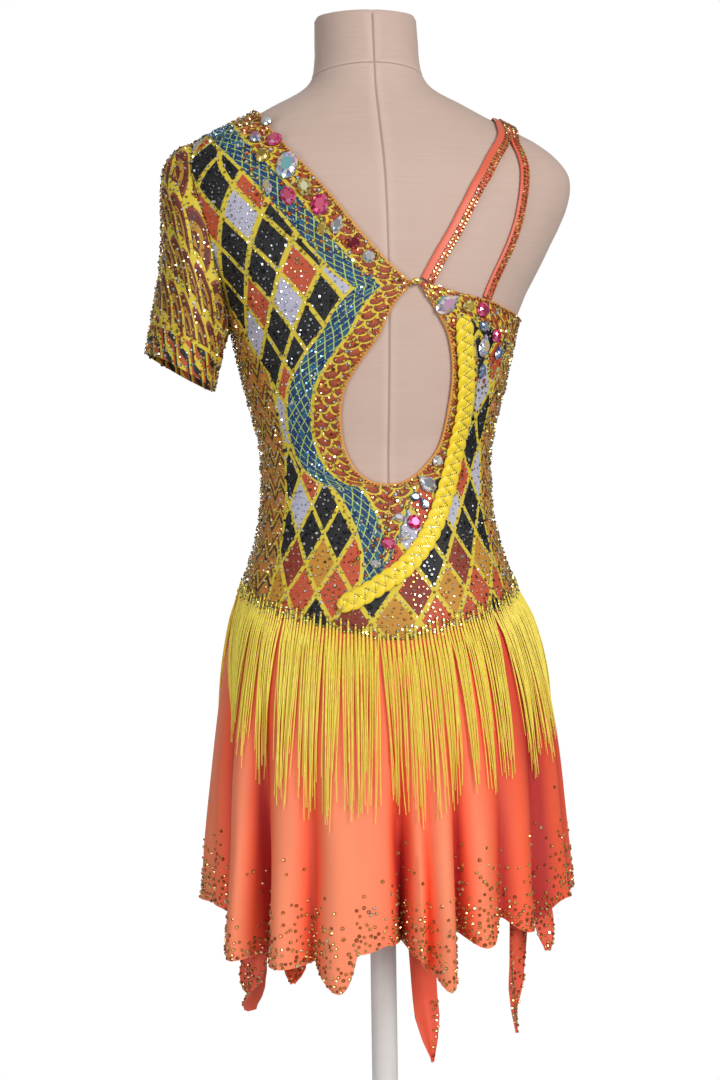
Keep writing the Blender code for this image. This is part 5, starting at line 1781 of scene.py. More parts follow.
@dataclass
class Bodice(SewnPart):
    """The three printed bodice panels with their set stones."""

    neck_rows: int = 84
    front_rows: int = 120
    front_columns: int = 130
    right_columns: int = 70
    keyhole_rows: int = 104
    seam_rows: int = 50
    columns: int = 60
    inset: float = 0.0026
    split: float = 0.08
    shoulder_split: float = 0.25
    waist_split: float = -0.012
    crease: float = 0.00055
    stone_spacing: float = 0.0044
    filler_spacing: float = 0.0055

    def seam(self, side: float) -> Array:
        """The back seam's places from the keyhole's foot to the hip, half a gap to one side."""
        start = (KEYHOLE_LEFT[-1][0], KEYHOLE_LEFT[-1][1] - self.inset)
        foot = (SEAM_FOOT_ANGLE, BODY.hip(SEAM_FOOT_ANGLE))
        return BODY.beside(BODY.along([start] + BACK_SEAM + [foot], self.seam_rows), side * GAP / 2)

    def cloth(self, places: Array, seed: int) -> Array:
        """World points of a panel with soft creases where stretch cloth gives.

        Args:
            places: the panel's places.
            seed: which set of creases.

        Returns:
            The points.
        """
        angle, height = places[..., 0], places[..., 1]
        arc = angle * 0.0022
        sides = np.exp(-((np.abs(np.abs(angle) - 90.0) / 26.0) ** 2))
        sides = sides * np.exp(-((height - 0.01) / 0.09) ** 2)
        drawn = np.exp(-((angle - 60.0) / 22.0) ** 2) * np.exp(-((height - 0.19) / 0.08) ** 2)
        waves = ripple(arc / 0.16, height / 0.03, seed, 3) * (0.25 + 1.6 * sides)
        pulls = ripple(arc / 0.03 + height / 0.08, height / 0.1, seed + 1, 2) * 0.9 * drawn
        return BODY.point(places, CLOTH_OUT + self.crease * (waves + pulls))

    def neck(self, part: int) -> Array:
        """One part of the neckline: 1 is its back, 2 its front and 3 its right."""
        return neckline(self.inset, self.neck_rows, self.front_rows, self.right_columns)[part]

    def fade(self, rows: int, last: int, power: float) -> Array:
        """0 down a column of rows, rising to 1 over its last ones."""
        return np.concatenate([np.zeros(rows - last), np.linspace(0, 1, last) ** power])[:, None]

    def back_left(self) -> Sheet:
        """The sleeved side of the back.

        Returns:
            The sheet.
        """
        neck, edge, seam = self.neck(1), keyhole(self.inset, self.keyhole_rows)[0], self.seam(1.0)
        corner = mitred(np.array(KEYHOLE_LEFT[0]), neck[-1], edge[0])
        inner = joined(np.vstack([neck[:-1], corner]), np.vstack([corner, edge[1:-1], seam[0]]), seam)
        turn = round(0.31 * self.keyhole_rows)
        outer = joined(BODY.armhole(np.linspace(0.0, 142.0, self.neck_rows), -1.0),
                       BODY.armhole(np.linspace(142.0, 180.0, turn), -1.0),
                       side_seam(90.0, ARMPIT, self.waist_split, self.keyhole_rows - turn + 1),
                       side_seam(90.0, self.waist_split, HIP_SIDE, self.seam_rows))
        outer[:, 0] -= np.where(outer[:, 0] > 89.0, self.split, 0.0)
        outer[0, 0] = 90.0 - self.shoulder_split
        places = settle_to_hip(ruled(inner, outer, self.columns), self.seam_rows, GAP)
        points = self.cloth(places, 3)
        from_edge = lengths(points, 1) + 0.062 * self.fade(len(inner), self.seam_rows, 0.8)
        return Sheet(points, self.maps(places, points, from_edge, 0))

    def back_right(self) -> Sheet:
        """The bare-shoulder side of the back.

        Returns:
            The sheet.
        """
        top, seam = self.neck(3) - (360.0, 0.0), self.seam(-1.0)
        edge = keyhole(self.inset, self.keyhole_rows)[1]
        edge[0] = top[-1] = mitred(np.array(TOP_RIGHT[-1]), edge[0], top[-1])
        inner = joined(np.vstack([edge[:-1], seam[0]]), seam)
        outer = joined(side_seam(-90.0, top[0, 1], self.waist_split, self.keyhole_rows),
                       side_seam(-90.0, self.waist_split, HIP_SIDE, self.seam_rows))
        outer[:, 0] += self.split
        top[0, 0] = outer[0, 0]
        places = ruled(outer, inner, self.right_columns)
        bend = round(self.keyhole_rows * 0.4)
        ramp = smoothstep(np.linspace(1.0, 0.0, bend))
        places[:bend] += ramp[:, None, None] * (top - places[0])[None]
        places = settle_to_hip(places, self.seam_rows, GAP)
        points = self.cloth(places, 5)
        across = lengths(points, 1)
        from_keyhole, from_top = across[:, -1:] - across, lengths(points, 0) * 0.9
        from_hole = from_keyhole + 0.045 * self.fade(len(inner), self.seam_rows, 0.8)
        from_edge = np.minimum(from_hole, from_top)
        from_edge = from_edge + np.where(from_edge > BODICE_PRINT.scale_band + 0.002, 0.032, 0.0)
        maps = self.maps(places, points, from_edge, -1)
        along_top = np.stack([from_edge, from_keyhole], -1)
        maps["edge"] = np.where((from_top < from_hole)[..., None], along_top, maps["edge"])
        return Sheet(points, maps)

    def front(self) -> Sheet:
        """The whole front, with one shoulder.

        Returns:
            The sheet.
        """
        low, neck = 44, self.neck(2)
        neck[0] += (neck[1] - neck[0]) * min(1.0, self.shoulder_split / (neck[1, 0] - 90.0))
        neck[-1, 0] = 270.0
        right = joined(neck, side_seam(270.0, neck[-1, 1], HIP_SIDE, low))
        right[:, 0] -= np.where(right[:, 0] > 269.9, self.split, 0.0)
        half = round(self.front_rows * 0.62)
        left = joined(BODY.armhole(np.linspace(0.0, 180.0, half), 1.0),
                      side_seam(90.0, ARMPIT, 0.06, self.front_rows - half + 1),
                      side_seam(90.0, 0.06, HIP_SIDE, low))
        left[:, 0] += np.where(left[:, 0] < 91.0, self.split, 0.0)
        left[0, 0] = 90.0 + self.shoulder_split
        places = settle_to_hip(ruled(left, right, self.front_columns), low, GAP)
        points = self.cloth(places, 7)
        across = lengths(points, 1)
        from_edge = across[:, -1:] - across + 0.09 * self.fade(len(left), low - 1, 0.5)
        return Sheet(points, self.maps(places, points, from_edge, -1))

    def maps(self, places: Array, points: Array, from_edge: Array, side: int) -> dict[str, Array]:
        """The print's coordinates.

        Args:
            places: the panel's places.
            points: its points.
            from_edge: metres from its bound edge.
            side: the column that lies on the edge.

        Returns:
            The edge map and the cloth map.
        """
        run = lengths(points, 0)[:, side][:, None]
        edge = np.stack([from_edge, np.broadcast_to(run, from_edge.shape)], -1)
        angle = (places[..., 0] + 180.0) % 360.0 - 180.0 if places[..., 0].max() < 100.0 else places[..., 0]
        cloth = np.stack([np.radians(angle) * 0.125, places[..., 1]], -1)
        return {"edge": edge, "cloth": cloth}

    def build(self) -> list[Piece]:
        """Build the panels and their stones.

        Returns:
            The pieces.
        """
        pieces = []
        panels = (("bodice_back_left", self.back_left(), "print_black", (0.36, 0.6)),
                  ("bodice_back_right", self.back_right(), "print_gold", (0.25, 0.36)),
                  ("bodice_front", self.front(), "print_maroon", (0.44, 0.6)))
        for number, (name, sheet, slot, flat) in enumerate(panels):
            piece = place(sheet.wall(name + "_cloth", WALL, finish(BODICE_PRINT)), name, slot=slot)
            fill = sheet.scatter(self.filler_spacing, 50 + number)
            rim = from_jewels(fill.points)
            fill = fill.pick((rim > 0.0029) & (rim < 0.0135))
            found = sheet.scatter(self.stone_spacing, 20 + number)
            clear = from_jewels(found.points) > 0.0002
            if len(fill.points):
                near = np.linalg.norm(found.points[:, None] - fill.points[None], axis=2).min(1)
                clear &= near > 0.0036
            found = found.pick(clear)
            seeds = (40 + number, 60 + number, 80 + number)
            zones = BODICE_PRINT.zones(found.maps)
            sewn = [self.setter.sew(name + "_stones", found, PRINT_MIX, seeds, zones)]
            if len(fill.points):
                seeds = (44 + number, 46 + number, 48 + number)
                sewn.append(self.setter.sew(name + "_fillers", fill, FILLER_MIX, seeds))
            sheet.area() * 0.97
            log.info("%s: %.3f m2, %d stones", name, sheet.area(), len(found.points))
            pieces += [piece, *sewn]
        return pieces


@dataclass
class Sleeve(SewnPart):
    """The short sleeve, hanging open from the armhole."""

    columns: int = 110
    rows: int = 96
    stone_spacing: float = 0.0047

    def sheet(self) -> Sheet:
        """The sleeve's outer side.

        Returns:
            The sheet.
        """
        turns = 180.0 - np.linspace(0.0, 360.0, self.columns, endpoint=False)
        wrapped = turns % 360.0
        back, front = BODY.armhole(wrapped, -1.0, 0.012), BODY.armhole(360.0 - wrapped, 1.0, 0.012)
        rings = [BODY.point(np.where((wrapped <= 180.0)[:, None], back, front), CLOTH_OUT)]
        share, bulge = 0.5 + 0.5 * np.cos(np.radians(turns)), np.sin(np.radians(turns))
        for outer_x, outer_z, inner_x, inner_z, depth, centre in SLEEVE_RINGS:
            rings.append(np.stack([inner_x + (outer_x - inner_x) * share, centre + depth * bulge,
                                   inner_z + (outer_z - inner_z) * share + WAIST], -1))
        rings = np.array(rings)
        steps = np.linalg.norm(np.diff(rings, axis=0), axis=-1).mean(1)
        keys = np.concatenate([[0.0], np.cumsum(steps)])
        flat = through(keys, rings.reshape(len(rings), -1), np.linspace(0, keys[-1], self.rows))
        points = flat.reshape(self.rows, self.columns, 3)
        down = lengths(points, 0)
        around = np.broadcast_to(np.arange(self.columns) / self.columns * 0.315, down.shape)
        sheet = Sheet(points, {}, True)
        fall = smoothstep(down / 0.1)
        turn = np.radians(turns)[None, :]
        waves = 0.0013 * fall * np.sin(3.0 * turn + 0.8 + down * 9.0)
        waves = waves + 0.0008 * fall * np.sin(7.0 * turn - down * 21.0)
        cap = np.exp(-((down - 0.018) / 0.014) ** 2) * 0.0009 * np.sin(22.0 * turn + 1.3)
        middle = np.exp(-((down / down[-1:] - 0.5) / 0.2) ** 2)
        side = 0.0012 * middle * ripple(around / 0.12, down / 0.035, 9, 3)
        moved = sheet.moved(waves * 0.8 + cap + side - 0.0004 * fall)
        moved.maps = {"cloth": np.stack([around, -down], -1),
                      "edge": np.stack([down[-1:] - down, around], -1)}
        return moved

    def build(self) -> list[Piece]:
        """Build the sleeve and its stones.

        Returns:
            The pieces.
        """
        sheet = self.sheet()
        piece = sheet.wall("sleeve_cloth", WALL, finish(SLEEVE_PRINT))
        place(piece, "sleeve_left", slot="print_maroon")
        found = sheet.scatter(self.stone_spacing, 101)
        zones = SLEEVE_PRINT.zones(found.maps)
        stones = self.setter.sew("sleeve_stones", found, PRINT_MIX, (103, 105, 107), zones)
        sheet.area() * 1.02
        log.info("sleeve: %.3f m2, %d stones", sheet.area(), len(found.points))
        return [piece, stones]


def rolled(name: str, first: Array, second: Array, thickness: float, low: float, material: Material,
           columns: int = 9) -> tuple[Piece, Array, Array]:
    """A rounded strip on the form between two lines of places.

    Args:
        name: the piece's name.
        first: one edge's places.
        second: the other edge's places.
        thickness: metres.
        low: metres from the form to its underside.
        material: its finish.
        columns: points across.

    Returns:
        The piece, the top's points and the top's normals.
    """
    share = np.linspace(0.0, 1.0, columns)
    places = first[:, None] * (1 - share)[None, :, None] + second[:, None] * share[None, :, None]
    crown = np.sqrt(np.clip(1.0 - (2.0 * share - 1.0) ** 2, 0.0, 1.0))
    height = np.broadcast_to(low + thickness * (0.45 + 0.55 * crown), places.shape[:2])
    inner = BODY.point(places, np.full(places.shape[:2], low))
    outer = BODY.point(places, height)
    cloth = np.stack([lengths(outer, 1), np.broadcast_to(lengths(outer, 0)[:, :1], outer.shape[:2])], -1)
    piece = closed_wall(name, inner, outer, {"cloth": cloth}, material)
    normal = BODY.slopes(places[..., 0], places[..., 1])[2]
    return piece, BODY.point(places, height), normal


def row_of(points: Array, normal: Array, spacing: float) -> Samples:
    """Places evenly spaced along a line of points.

    Args:
        points: the line's points.
        normal: their normals.
        spacing: metres between places.

    Returns:
        The places.
    """
    run = run_of(points)
    at = np.arange(spacing / 2, run[-1], spacing)
    both = np.concatenate([points, normal], 1)
    values = np.stack([np.interp(at, run, both[:, k]) for k in range(6)], 1)
    return Samples(values[:, :3], unit(values[:, 3:]), {})


def merged(parts: Sequence[Samples]) -> Samples:
    """Several sets of places as one."""
    return Samples(np.concatenate([p.points for p in parts]), np.concatenate([p.normals for p in parts]), {})


@dataclass
class Trims(SewnPart):
    """The bound edges, the straps, the plait and the clasp, with their small stones."""

    strap_widths: tuple[float, float] = (0.0138, 0.0103)
    strap_thickness: float = 0.0018
    braid_width: float = 0.0197
    strand_half: float = 0.0049
    strand_thick: float = 0.0018
    strand_pitch: float = 0.034
    closed_trim: tuple[float, float] = (0.0045, 0.0075)

    def bindings(self) -> list[Piece]:
        """Build the bound neckline and keyhole.

        Returns:
            The pieces.
        """
        counts = (150, 190, 90)
        lines = [neckline(offset, *counts)[0] for offset in (0.0, BINDING_WIDTH)]
        edges = []
        for offset in (0.0, BINDING_WIDTH):
            down, up = keyhole(offset, 120)
            edges.append(joined(down, up[::-1]))
        run = run_of(BODY.point(edges[0], CLOTH_OUT))
        keep = (run > self.closed_trim[0]) & (run < run[-1] - self.closed_trim[1])
        pieces, rows = [], []
        for name, (first, second), spacing in (("neckline", lines, 0.0034),
                                               ("keyhole", [edge[keep] for edge in edges], 0.0036)):
            piece, top, normal = rolled(name + "_roll", first, second, BINDING_THICKNESS, EASE,
                                        finish(EDGE_GOLD))
            pieces.append(place(piece, name + "_binding", slot="coral"))
            rows.append(row_of(top[:, 5], normal[:, 5], spacing))
        return pieces + [self.setter.sew("binding_stones", merged(rows), BINDING_MIX, (7, 8, 9))]

    def straps(self) -> list[Piece]:
        """Build the two straps, each with two rows of stones.

        Returns:
            The pieces.
        """
        pieces, rows = [], []
        for node, line, width, columns in (("strap_inner", STRAP_INNER, self.strap_widths[0], (8, 12)),
                                           ("strap_outer", STRAP_OUTER, self.strap_widths[1], (5, 10))):
            places = BODY.along(line, 150)
            first, second = BODY.beside(places, -width / 2), BODY.beside(places, width / 2)
            strip, top, normal = rolled(node + "_band", first, second, self.strap_thickness, EASE,
                                        finish(BINDING), 15)
            pieces.append(place(strip, node, slot="coral"))
            rows += [row_of(top[:, column], normal[:, column], 0.0041) for column in columns]
        return pieces + [self.setter.sew("strap_stones", merged(rows), STRAP_MIX, (17, 18, 19))]

    def braid(self) -> list[Piece]:
        """Build the three-strand plait with its backing and its zigzag of beads.

        Returns:
            The pieces.
        """
        count, low = 620, CLOTH_OUT + LAY
        line = BODY.along(BRAID_LINE, count)
        sides = [BODY.beside(line[::4], self.braid_width * share) for share in (-0.36, 0.36)]
        backing = place(rolled("braid_backing", *sides, 0.0011, low, finish(PLAIT_BACK), 7)[0])
        run = run_of(BODY.point(line, CLOTH_OUT))
        from_end = np.minimum(run, run[-1] - run)
        reach = self.braid_width / 2 - self.strand_half * 0.98
        ease = 0.35 + 0.65 * smoothstep(from_end / 0.012)
        paths, ups, across = [], [], []
        for strand in range(3):
            turn = 2.0 * math.pi * (run / self.strand_pitch + strand / 3.0)
            places = BODY.beside(line, reach * np.sin(turn) * ease)
            path = BODY.point(places, low + 0.0025 + 0.0011 * np.sin(2.0 * turn))
            normal = BODY.slopes(places[:, 0], places[:, 1])[2]
            paths.append(path)
            ups.append(normal)
            across.append(unit(np.cross(np.gradient(path, axis=0), normal)))
        ends = 0.35 + 0.65 * smoothstep(from_end / 0.005)
        sizes = ends[None, :, None] * np.broadcast_to((self.strand_half, self.strand_thick), (3, count, 2))
        ways = (np.array(points) for points in (paths, across, ups))
        plait = tubes("braid_plait", *ways, sizes, 12, finish(PLAIT))
        saw = 2.0 * np.abs((run / (self.strand_pitch / 3.0)) % 1.0 - 0.5) - 0.5
        places = BODY.beside(line, saw * 0.01)
        beads = row_of(BODY.point(places, low + 0.0048), BODY.slopes(places[:, 0], places[:, 1])[2], 0.0021)
        zigzag = self.setter.sew("braid_beads", beads, BRAID_MIX, (27, 28, 29))
        return [place(plait, "braid", slot="yellow"), backing, zigzag]

    def clasp(self) -> Piece:
        """Build the bead over the hook.

        Returns:
            The piece.
        """
        deselect()
        bpy.ops.mesh.primitive_ico_sphere_add(subdivisions=2, radius=1.0)
        points, faces = to_arrays(bpy.context.object)
        seat = np.array(CLASP_PLACE)
        normal = BODY.slopes(seat[0], seat[1])[2]
        side = unit(np.cross(normal, (0.0, 0.0, 1.0)))
        middle = BODY.point(seat, EASE + BINDING_THICKNESS + 2 * LAY + 0.002)
        world = middle + points[:, 0:1] * side * 0.0045 + points[:, 1:2] * normal * 0.002
        world = world + points[:, 2:3] * np.array((0.0, 0.0, 0.0032))
        loops, starts = np.array(faces)[:, ::-1].ravel(), np.arange(0, 3 * len(faces), 3)
        piece = new_piece("clasp_jewel", world, loops, starts, finish(JEWEL))
        paint_facets(piece, np.array([GOLD]), 31)
        return place(piece, "clasp_bead", slot="gold")

    def build(self) -> list[Piece]:
        """Build every trim."""
        return self.bindings() + self.straps() + self.braid() + [self.clasp()]


def paint_facets(piece: Piece, colours: Array, seed: int, girdle: slice = slice(0, 0)) -> None:
    """Give each facet its own colour from the colours, lightened or darkened at random as painted glints.

    Args:
        piece: the piece.
        colours: the colours to choose from.
        seed: which choice.
        girdle: the facets of the upright edge, which are dark.
    """
    rng = np.random.default_rng(seed)
    count = len(piece.data.polygons)
    chosen = colours[rng.integers(0, len(colours), count)]
    # Random lighter and darker facets, with white added to the brightest: painted glints.
    glint = rng.choice([0.45, 0.75, 1.0, 1.5, 2.4], (count, 1), p=[0.2, 0.25, 0.25, 0.2, 0.1])
    lit = np.clip(chosen * glint + np.maximum(glint - 1.3, 0.0) * 0.16, 0.0, 1.0)
    lit[girdle] = lit[girdle] * 0.25 + 0.02
    tinted_with_glints(piece, np.repeat(lit, [polygon.loop_total for polygon in piece.data.polygons], axis=0))


@dataclass
class Jewels:
    """The large sewn stones."""

    height: float = 0.0042
    out: float = EASE + BINDING_THICKNESS + 0.0005
    looks: dict[str, tuple[Rgb, ...]] = field(default_factory=lambda: {
        "crystal": (CRYSTAL, (0.62, 0.68, 0.76), (0.95, 0.93, 0.86)), "aurora": AURORA,
        "pink": (ROSE, (0.96, 0.12, 0.24), (0.8, 0.01, 0.12), (1.0, 0.18, 0.3)),
        "gold": (GOLD, (0.9, 0.7, 0.2), (0.5, 0.32, 0.05)),
        "garnet": ((0.3, 0.02, 0.05), (0.52, 0.06, 0.08)),
        "sapphire": ((0.1, 0.2, 0.55), (0.3, 0.42, 0.7), (0.45, 0.6, 0.62))})

    def build(self) -> list[Piece]:
        """Build the stones, each standing for its solid.

        Returns:
            The pieces.
        """
        points, faces = brilliant(12)
        loops = np.concatenate(faces)
        starts = np.concatenate([[0], np.cumsum([len(face) for face in faces])[:-1]])
        pieces = []
        for number, (angle, height, length, width, turn, pointed, colour) in enumerate(STONES, 1):
            per_rise, normal = BODY.slopes(np.array(angle), np.array(height))[1:]
            up = unit(per_rise - normal * np.dot(per_rise, normal))
            right = np.cross(up, normal)
            lean = math.radians(turn)
            y = points[:, 1]
            taper = 1.0 - 0.8 * pointed * np.clip(y * 2.0, 0.0, 1.0) ** 1.3
            u, v = points[:, 0] * width * taper, y * length
            flat = (right * (u * math.cos(lean) - v * math.sin(lean))[:, None]
                    + up * (u * math.sin(lean) + v * math.cos(lean))[:, None])
            seat = BODY.point(np.array((angle, height)), self.out - 0.0006)
            world = seat + flat + normal * (points[:, 2] * (self.height + 0.0006))[:, None]
            piece = new_piece(f"jewel_{number:02d}", world, loops, starts, finish(JEWEL))
            paint_facets(piece, np.array(self.looks[colour]), 200 + number, slice(1, len(faces) - 1, 5))
            pieces.append(place(piece, f"stone_{number:02d}", slot=colour))
        return pieces


@dataclass
class FoldTable:
    """The skirt's folds: depth, where each starts and where the hem is, by angle."""

    rows: Array

    def columns(self, first: float, last: float, step: float) -> Array:
        """Angles between two limits, each with its fold depth, start and hem height.

        Args:
            first: lowest angle.
            last: highest angle.
            step: about how many degrees between angles.

        Returns:
            One row for each angle.
        """
        table = np.vstack([self.rows - (360.0, 0, 0, 0), self.rows, self.rows + (360.0, 0, 0, 0)])
        parts = []
        for here, following in zip(table[:-1], table[1:]):
            count = max(3, round((following[0] - here[0]) / step))
            widen = 1.0 if here[1] > following[1] else -1.0
            share = np.arange(count) / count
            eased = 0.5 - 0.5 * np.cos(np.pi * share)
            swing = share + widen * FOLD_PINCH / math.pi * np.sin(np.pi * share)
            angle = here[0] + (following[0] - here[0]) * swing
            rest = here[None, 1:] + (following[1:] - here[1:])[None] * eased[:, None]
            parts.append(np.column_stack([angle, rest]))
        table = np.concatenate(parts)
        return table[(table[:, 0] > first) & (table[:, 0] < last)]

    def at(self, angle: Array) -> tuple[Array, Array, Array]:
        """Fold depth, start and hem height at any angles."""
        fine = self.columns(-300.0, 660.0, 1.0)
        return tuple(np.interp(angle, fine[:, 0], fine[:, k]) for k in (1, 2, 3))


FOLD_TABLE = FoldTable(FOLDS)


def skirt_away(angle: Array, fold: Array, start: Array, drop: Array) -> Array:
    """How far the skirt's outer side stands from the form at a drop below its seam.

    Args:
        angle: degrees from the centre back.
        fold: fold depths.
        start: drops where the folds start.
        drop: metres below the seam.

    Returns:
        Metres, outwards from the seam.
    """
    out, reach, sides, lean, ends = FLARE
    turn = np.radians(angle)
    share = sides - lean * np.sin(turn) + ends * np.cos(turn) ** 2
    flare = out * share * (1.0 - np.exp(-drop / reach))
    opened = np.clip((drop - start) / (FOLD_FULL - start), 0.0, 1.2) ** 1.25
    return CLOTH_OUT + flare + fold * opened


def skirt_points(angle: Array, drop: Array, away: Array) -> Array:
    """World points at a drop below the skirt seam and a distance out from it.

    Args:
        angle: places round the form, in degrees.
        drop: metres below the seam.
        away: metres out from the form.

    Returns:
        The points.
    """
    seam = BODY.hip(angle)
    normal = unit(BODY.slopes(angle, seam)[2] * (1.0, 1.0, 0.0))
    points = BODY.skin(angle, seam) + normal * np.asarray(away)[..., None]
    points[..., 2] = seam - drop + WAIST
    return points


@dataclass
class Skirt(SewnPart):
    """The two coral skirt panels with their soft folds and stoned hem."""

    step: float = 0.78
    rows: int = 58
    wave: float = 0.0011
    stone_spacing: float = 0.0042
    edge_band: float = 0.01
    fall: float = 0.017
    reach: float = 0.11

    def sheet(self, first: float, last: float) -> Sheet:
        """One panel's outer side.

        Args:
            first: angle of one side seam.
            last: angle of the other.

        Returns:
            The sheet.
        """
        edge = 0.1
        columns = FOLD_TABLE.columns(first + 0.5, last - 0.5, self.step)
        low, high = ([angle, *FOLD_TABLE.at(np.array(angle))] for angle in (first + edge, last - edge))
        angle, fold, start, hem = np.vstack([low, columns, high]).T
        share = np.linspace(0.0, 1.0, self.rows) ** 1.1
        seam = BODY.hip(angle)
        drop = GAP + (seam - hem - GAP)[None, :] * share[:, None]
        wide = np.broadcast_to(angle, drop.shape)
        away = skirt_away(wide, fold[None], start[None], drop)
        points = skirt_points(wide, drop, away)
        flow = smoothstep(drop / 0.22)
        arc = np.radians(wide) * 0.19
        wave = self.wave * flow * ripple(arc / 0.085, drop / 0.3, 31, 2)
        lip = 0.0016 * np.exp(-((drop[-1:] - drop) / 0.006) ** 2) * np.sin(arc / 0.0068)
        # Painted shade and highlight for the fold map: its tone is low in the fold troughs and high on the
        # ridges, and lowered towards the sides, most on the right side.
        opened = smoothstep((drop - start[None]) / 0.16)
        turned = (wide + 180.0) % 360.0 - 180.0
        right = turned < 0.0
        from_middle = np.where(np.abs(turned) > 90.0, 180.0 - np.abs(turned), np.abs(turned))
        side_shade = smoothstep((from_middle - np.where(right, 8.0, 40.0)) / 40.0)
        tone = 0.66 * (1.0 - opened) + np.clip((fold[None] + 0.017) / 0.031, 0.0, 1.0) * opened
        tone = np.clip(tone - np.where(right, 0.5, 0.04) * side_shade, 0.0, 1.0)
        maps = {"cloth": np.stack([arc, -drop], -1), "hem": np.stack([drop[-1:] - drop, arc], -1),
                "fold": np.stack([tone, drop], -1)}
        return Sheet(points, maps).moved(wave + lip - 0.0009 * flow)

    def stones_kept(self, maps: dict[str, Array]) -> Array:
        """The share of hem stones kept at each place, thickest at the hem.

        Args:
            maps: the places' coordinates.

        Returns:
            Shares from 0 to 1.
        """
        away = maps["hem"][..., 0]
        patchy = 0.75 + 0.45 * ripple(maps["hem"][..., 1] / 0.09, away / 0.2, 33, 2)
        fading = 0.46 * np.exp(-(away - self.edge_band) / self.fall) * patchy
        kept = np.where(away < self.edge_band, 1.0, fading)
        return np.where((away > self.reach) | (away < 0.0012), 0.0, kept)

    def build(self) -> list[Piece]:
        """Build both panels and their stones.

        Returns:
            The pieces.
        """
        pieces = []
        for number, (node, first, last, seam) in enumerate((
                ("skirt_back", -90.0, 90.0, "bodice_back_left_cloth"),
                ("skirt_front", 90.0, 270.0, "bodice_front_cloth"))):
            sheet = self.sheet(first, last)
            piece = place(sheet.wall(node + "_cloth", WALL, finish(CORAL)), node, slot="coral")
            found = sheet.scatter(self.stone_spacing, 130 + number, self.stones_kept)
            seeds = (150 + number, 140 + number, 160 + number)
            stones = self.setter.sew(node + "_stones", found, HEM_MIX, seeds)
            min(sheet.area(), 0.45)
            log.info("%s: %.3f m2, %d stones", node, sheet.area(), len(found.points))
            pieces += [piece, stones]
        return pieces


@dataclass
class HemPoints(SewnPart):
    """The five long points that hang from inside the hem."""

    rows: int = 60
    across: int = 23
    wall: float = 0.0011
    drift: float = 0.015
    crease: float = 0.005
    stone_spacing: float = 0.0041

    def stones_kept(self, maps: dict[str, Array], length: float, one_side: bool) -> Array:
        """The share of stones kept at each place: along the edges and the tip, or by one edge alone.

        Args:
            maps: the places' coordinates.
            length: the point's length in metres.
            one_side: whether only one edge has stones.

        Returns:
            Shares from 0 to 1.
        """
        low = maps["hem"][..., 1] / length
        if one_side:
            return np.where(maps["turn"][..., 0] < 0.24, smoothstep((low - 0.55) / 0.2), 0.0)
        return np.where(maps["hem"][..., 0] < 0.0045, 0.95, 0.9 * smoothstep((low - 0.45) / 0.35))

    def build(self) -> list[Piece]:
        """Build the points and their stones.

        Returns:
            The pieces.
        """
        pieces = []
        share = np.linspace(0.0, 1.0, self.rows)[:, None]
        side = np.linspace(-1.0, 1.0, self.across)[None, :]
        for number, (name, angle, half, top, tip, lean, follow, inside) in enumerate(HEM_POINTS):
            near = FOLD_TABLE.at(np.linspace(angle - half - 2.0, angle + half + 2.0, 15))
            width = half * np.interp(share, (0.0, 0.72, 0.86, 1.0), (1.0, 0.94, 0.6, 0.05))
            angles = angle + lean * share + width * side
            here = FOLD_TABLE.at(angles)
            fold, start = [near[k].min() * (1.0 - follow) + here[k] * follow for k in (0, 1)]
            drop = BODY.hip(angles) - (top + (tip - top) * share)
            bend = 1.0 - np.sqrt(side**2 + 0.02)
            inward = self.drift * share**2 - inside - self.crease * bend * share
            curl = 0.0022 * share * np.sin(side * 2.4 + share * 5.0 + number)
            points = skirt_points(angles, drop, skirt_away(angles, fold, start, drop) + inward + curl)
            down, across = lengths(points, 0), lengths(points, 1)
            from_edge = np.minimum(np.minimum(across, across[:, -1:] - across), down[-1:] - down)
            from_side = np.broadcast_to((side + 1.0) / 2.0, down.shape)
            maps = {"cloth": np.stack([across, -down], -1), "hem": np.stack([from_edge, down], -1),
                    "turn": np.stack([from_side, down], -1)}
            sheet = Sheet(points, maps)
            piece = sheet.wall(name + "_cloth", self.wall, finish(CORAL_POINT))
            place(piece, name, slot="coral_dark")
            kept = partial(self.stones_kept, length=down.max(), one_side=name == "hem_point_centre")
            found = sheet.scatter(self.stone_spacing, 170 + number, kept)
            seeds = (190 + number, 180 + number, 200 + number)
            stones = self.setter.sew(name + "_stones", found, POINT_MIX, seeds)
            pieces += [piece, stones]
        return pieces


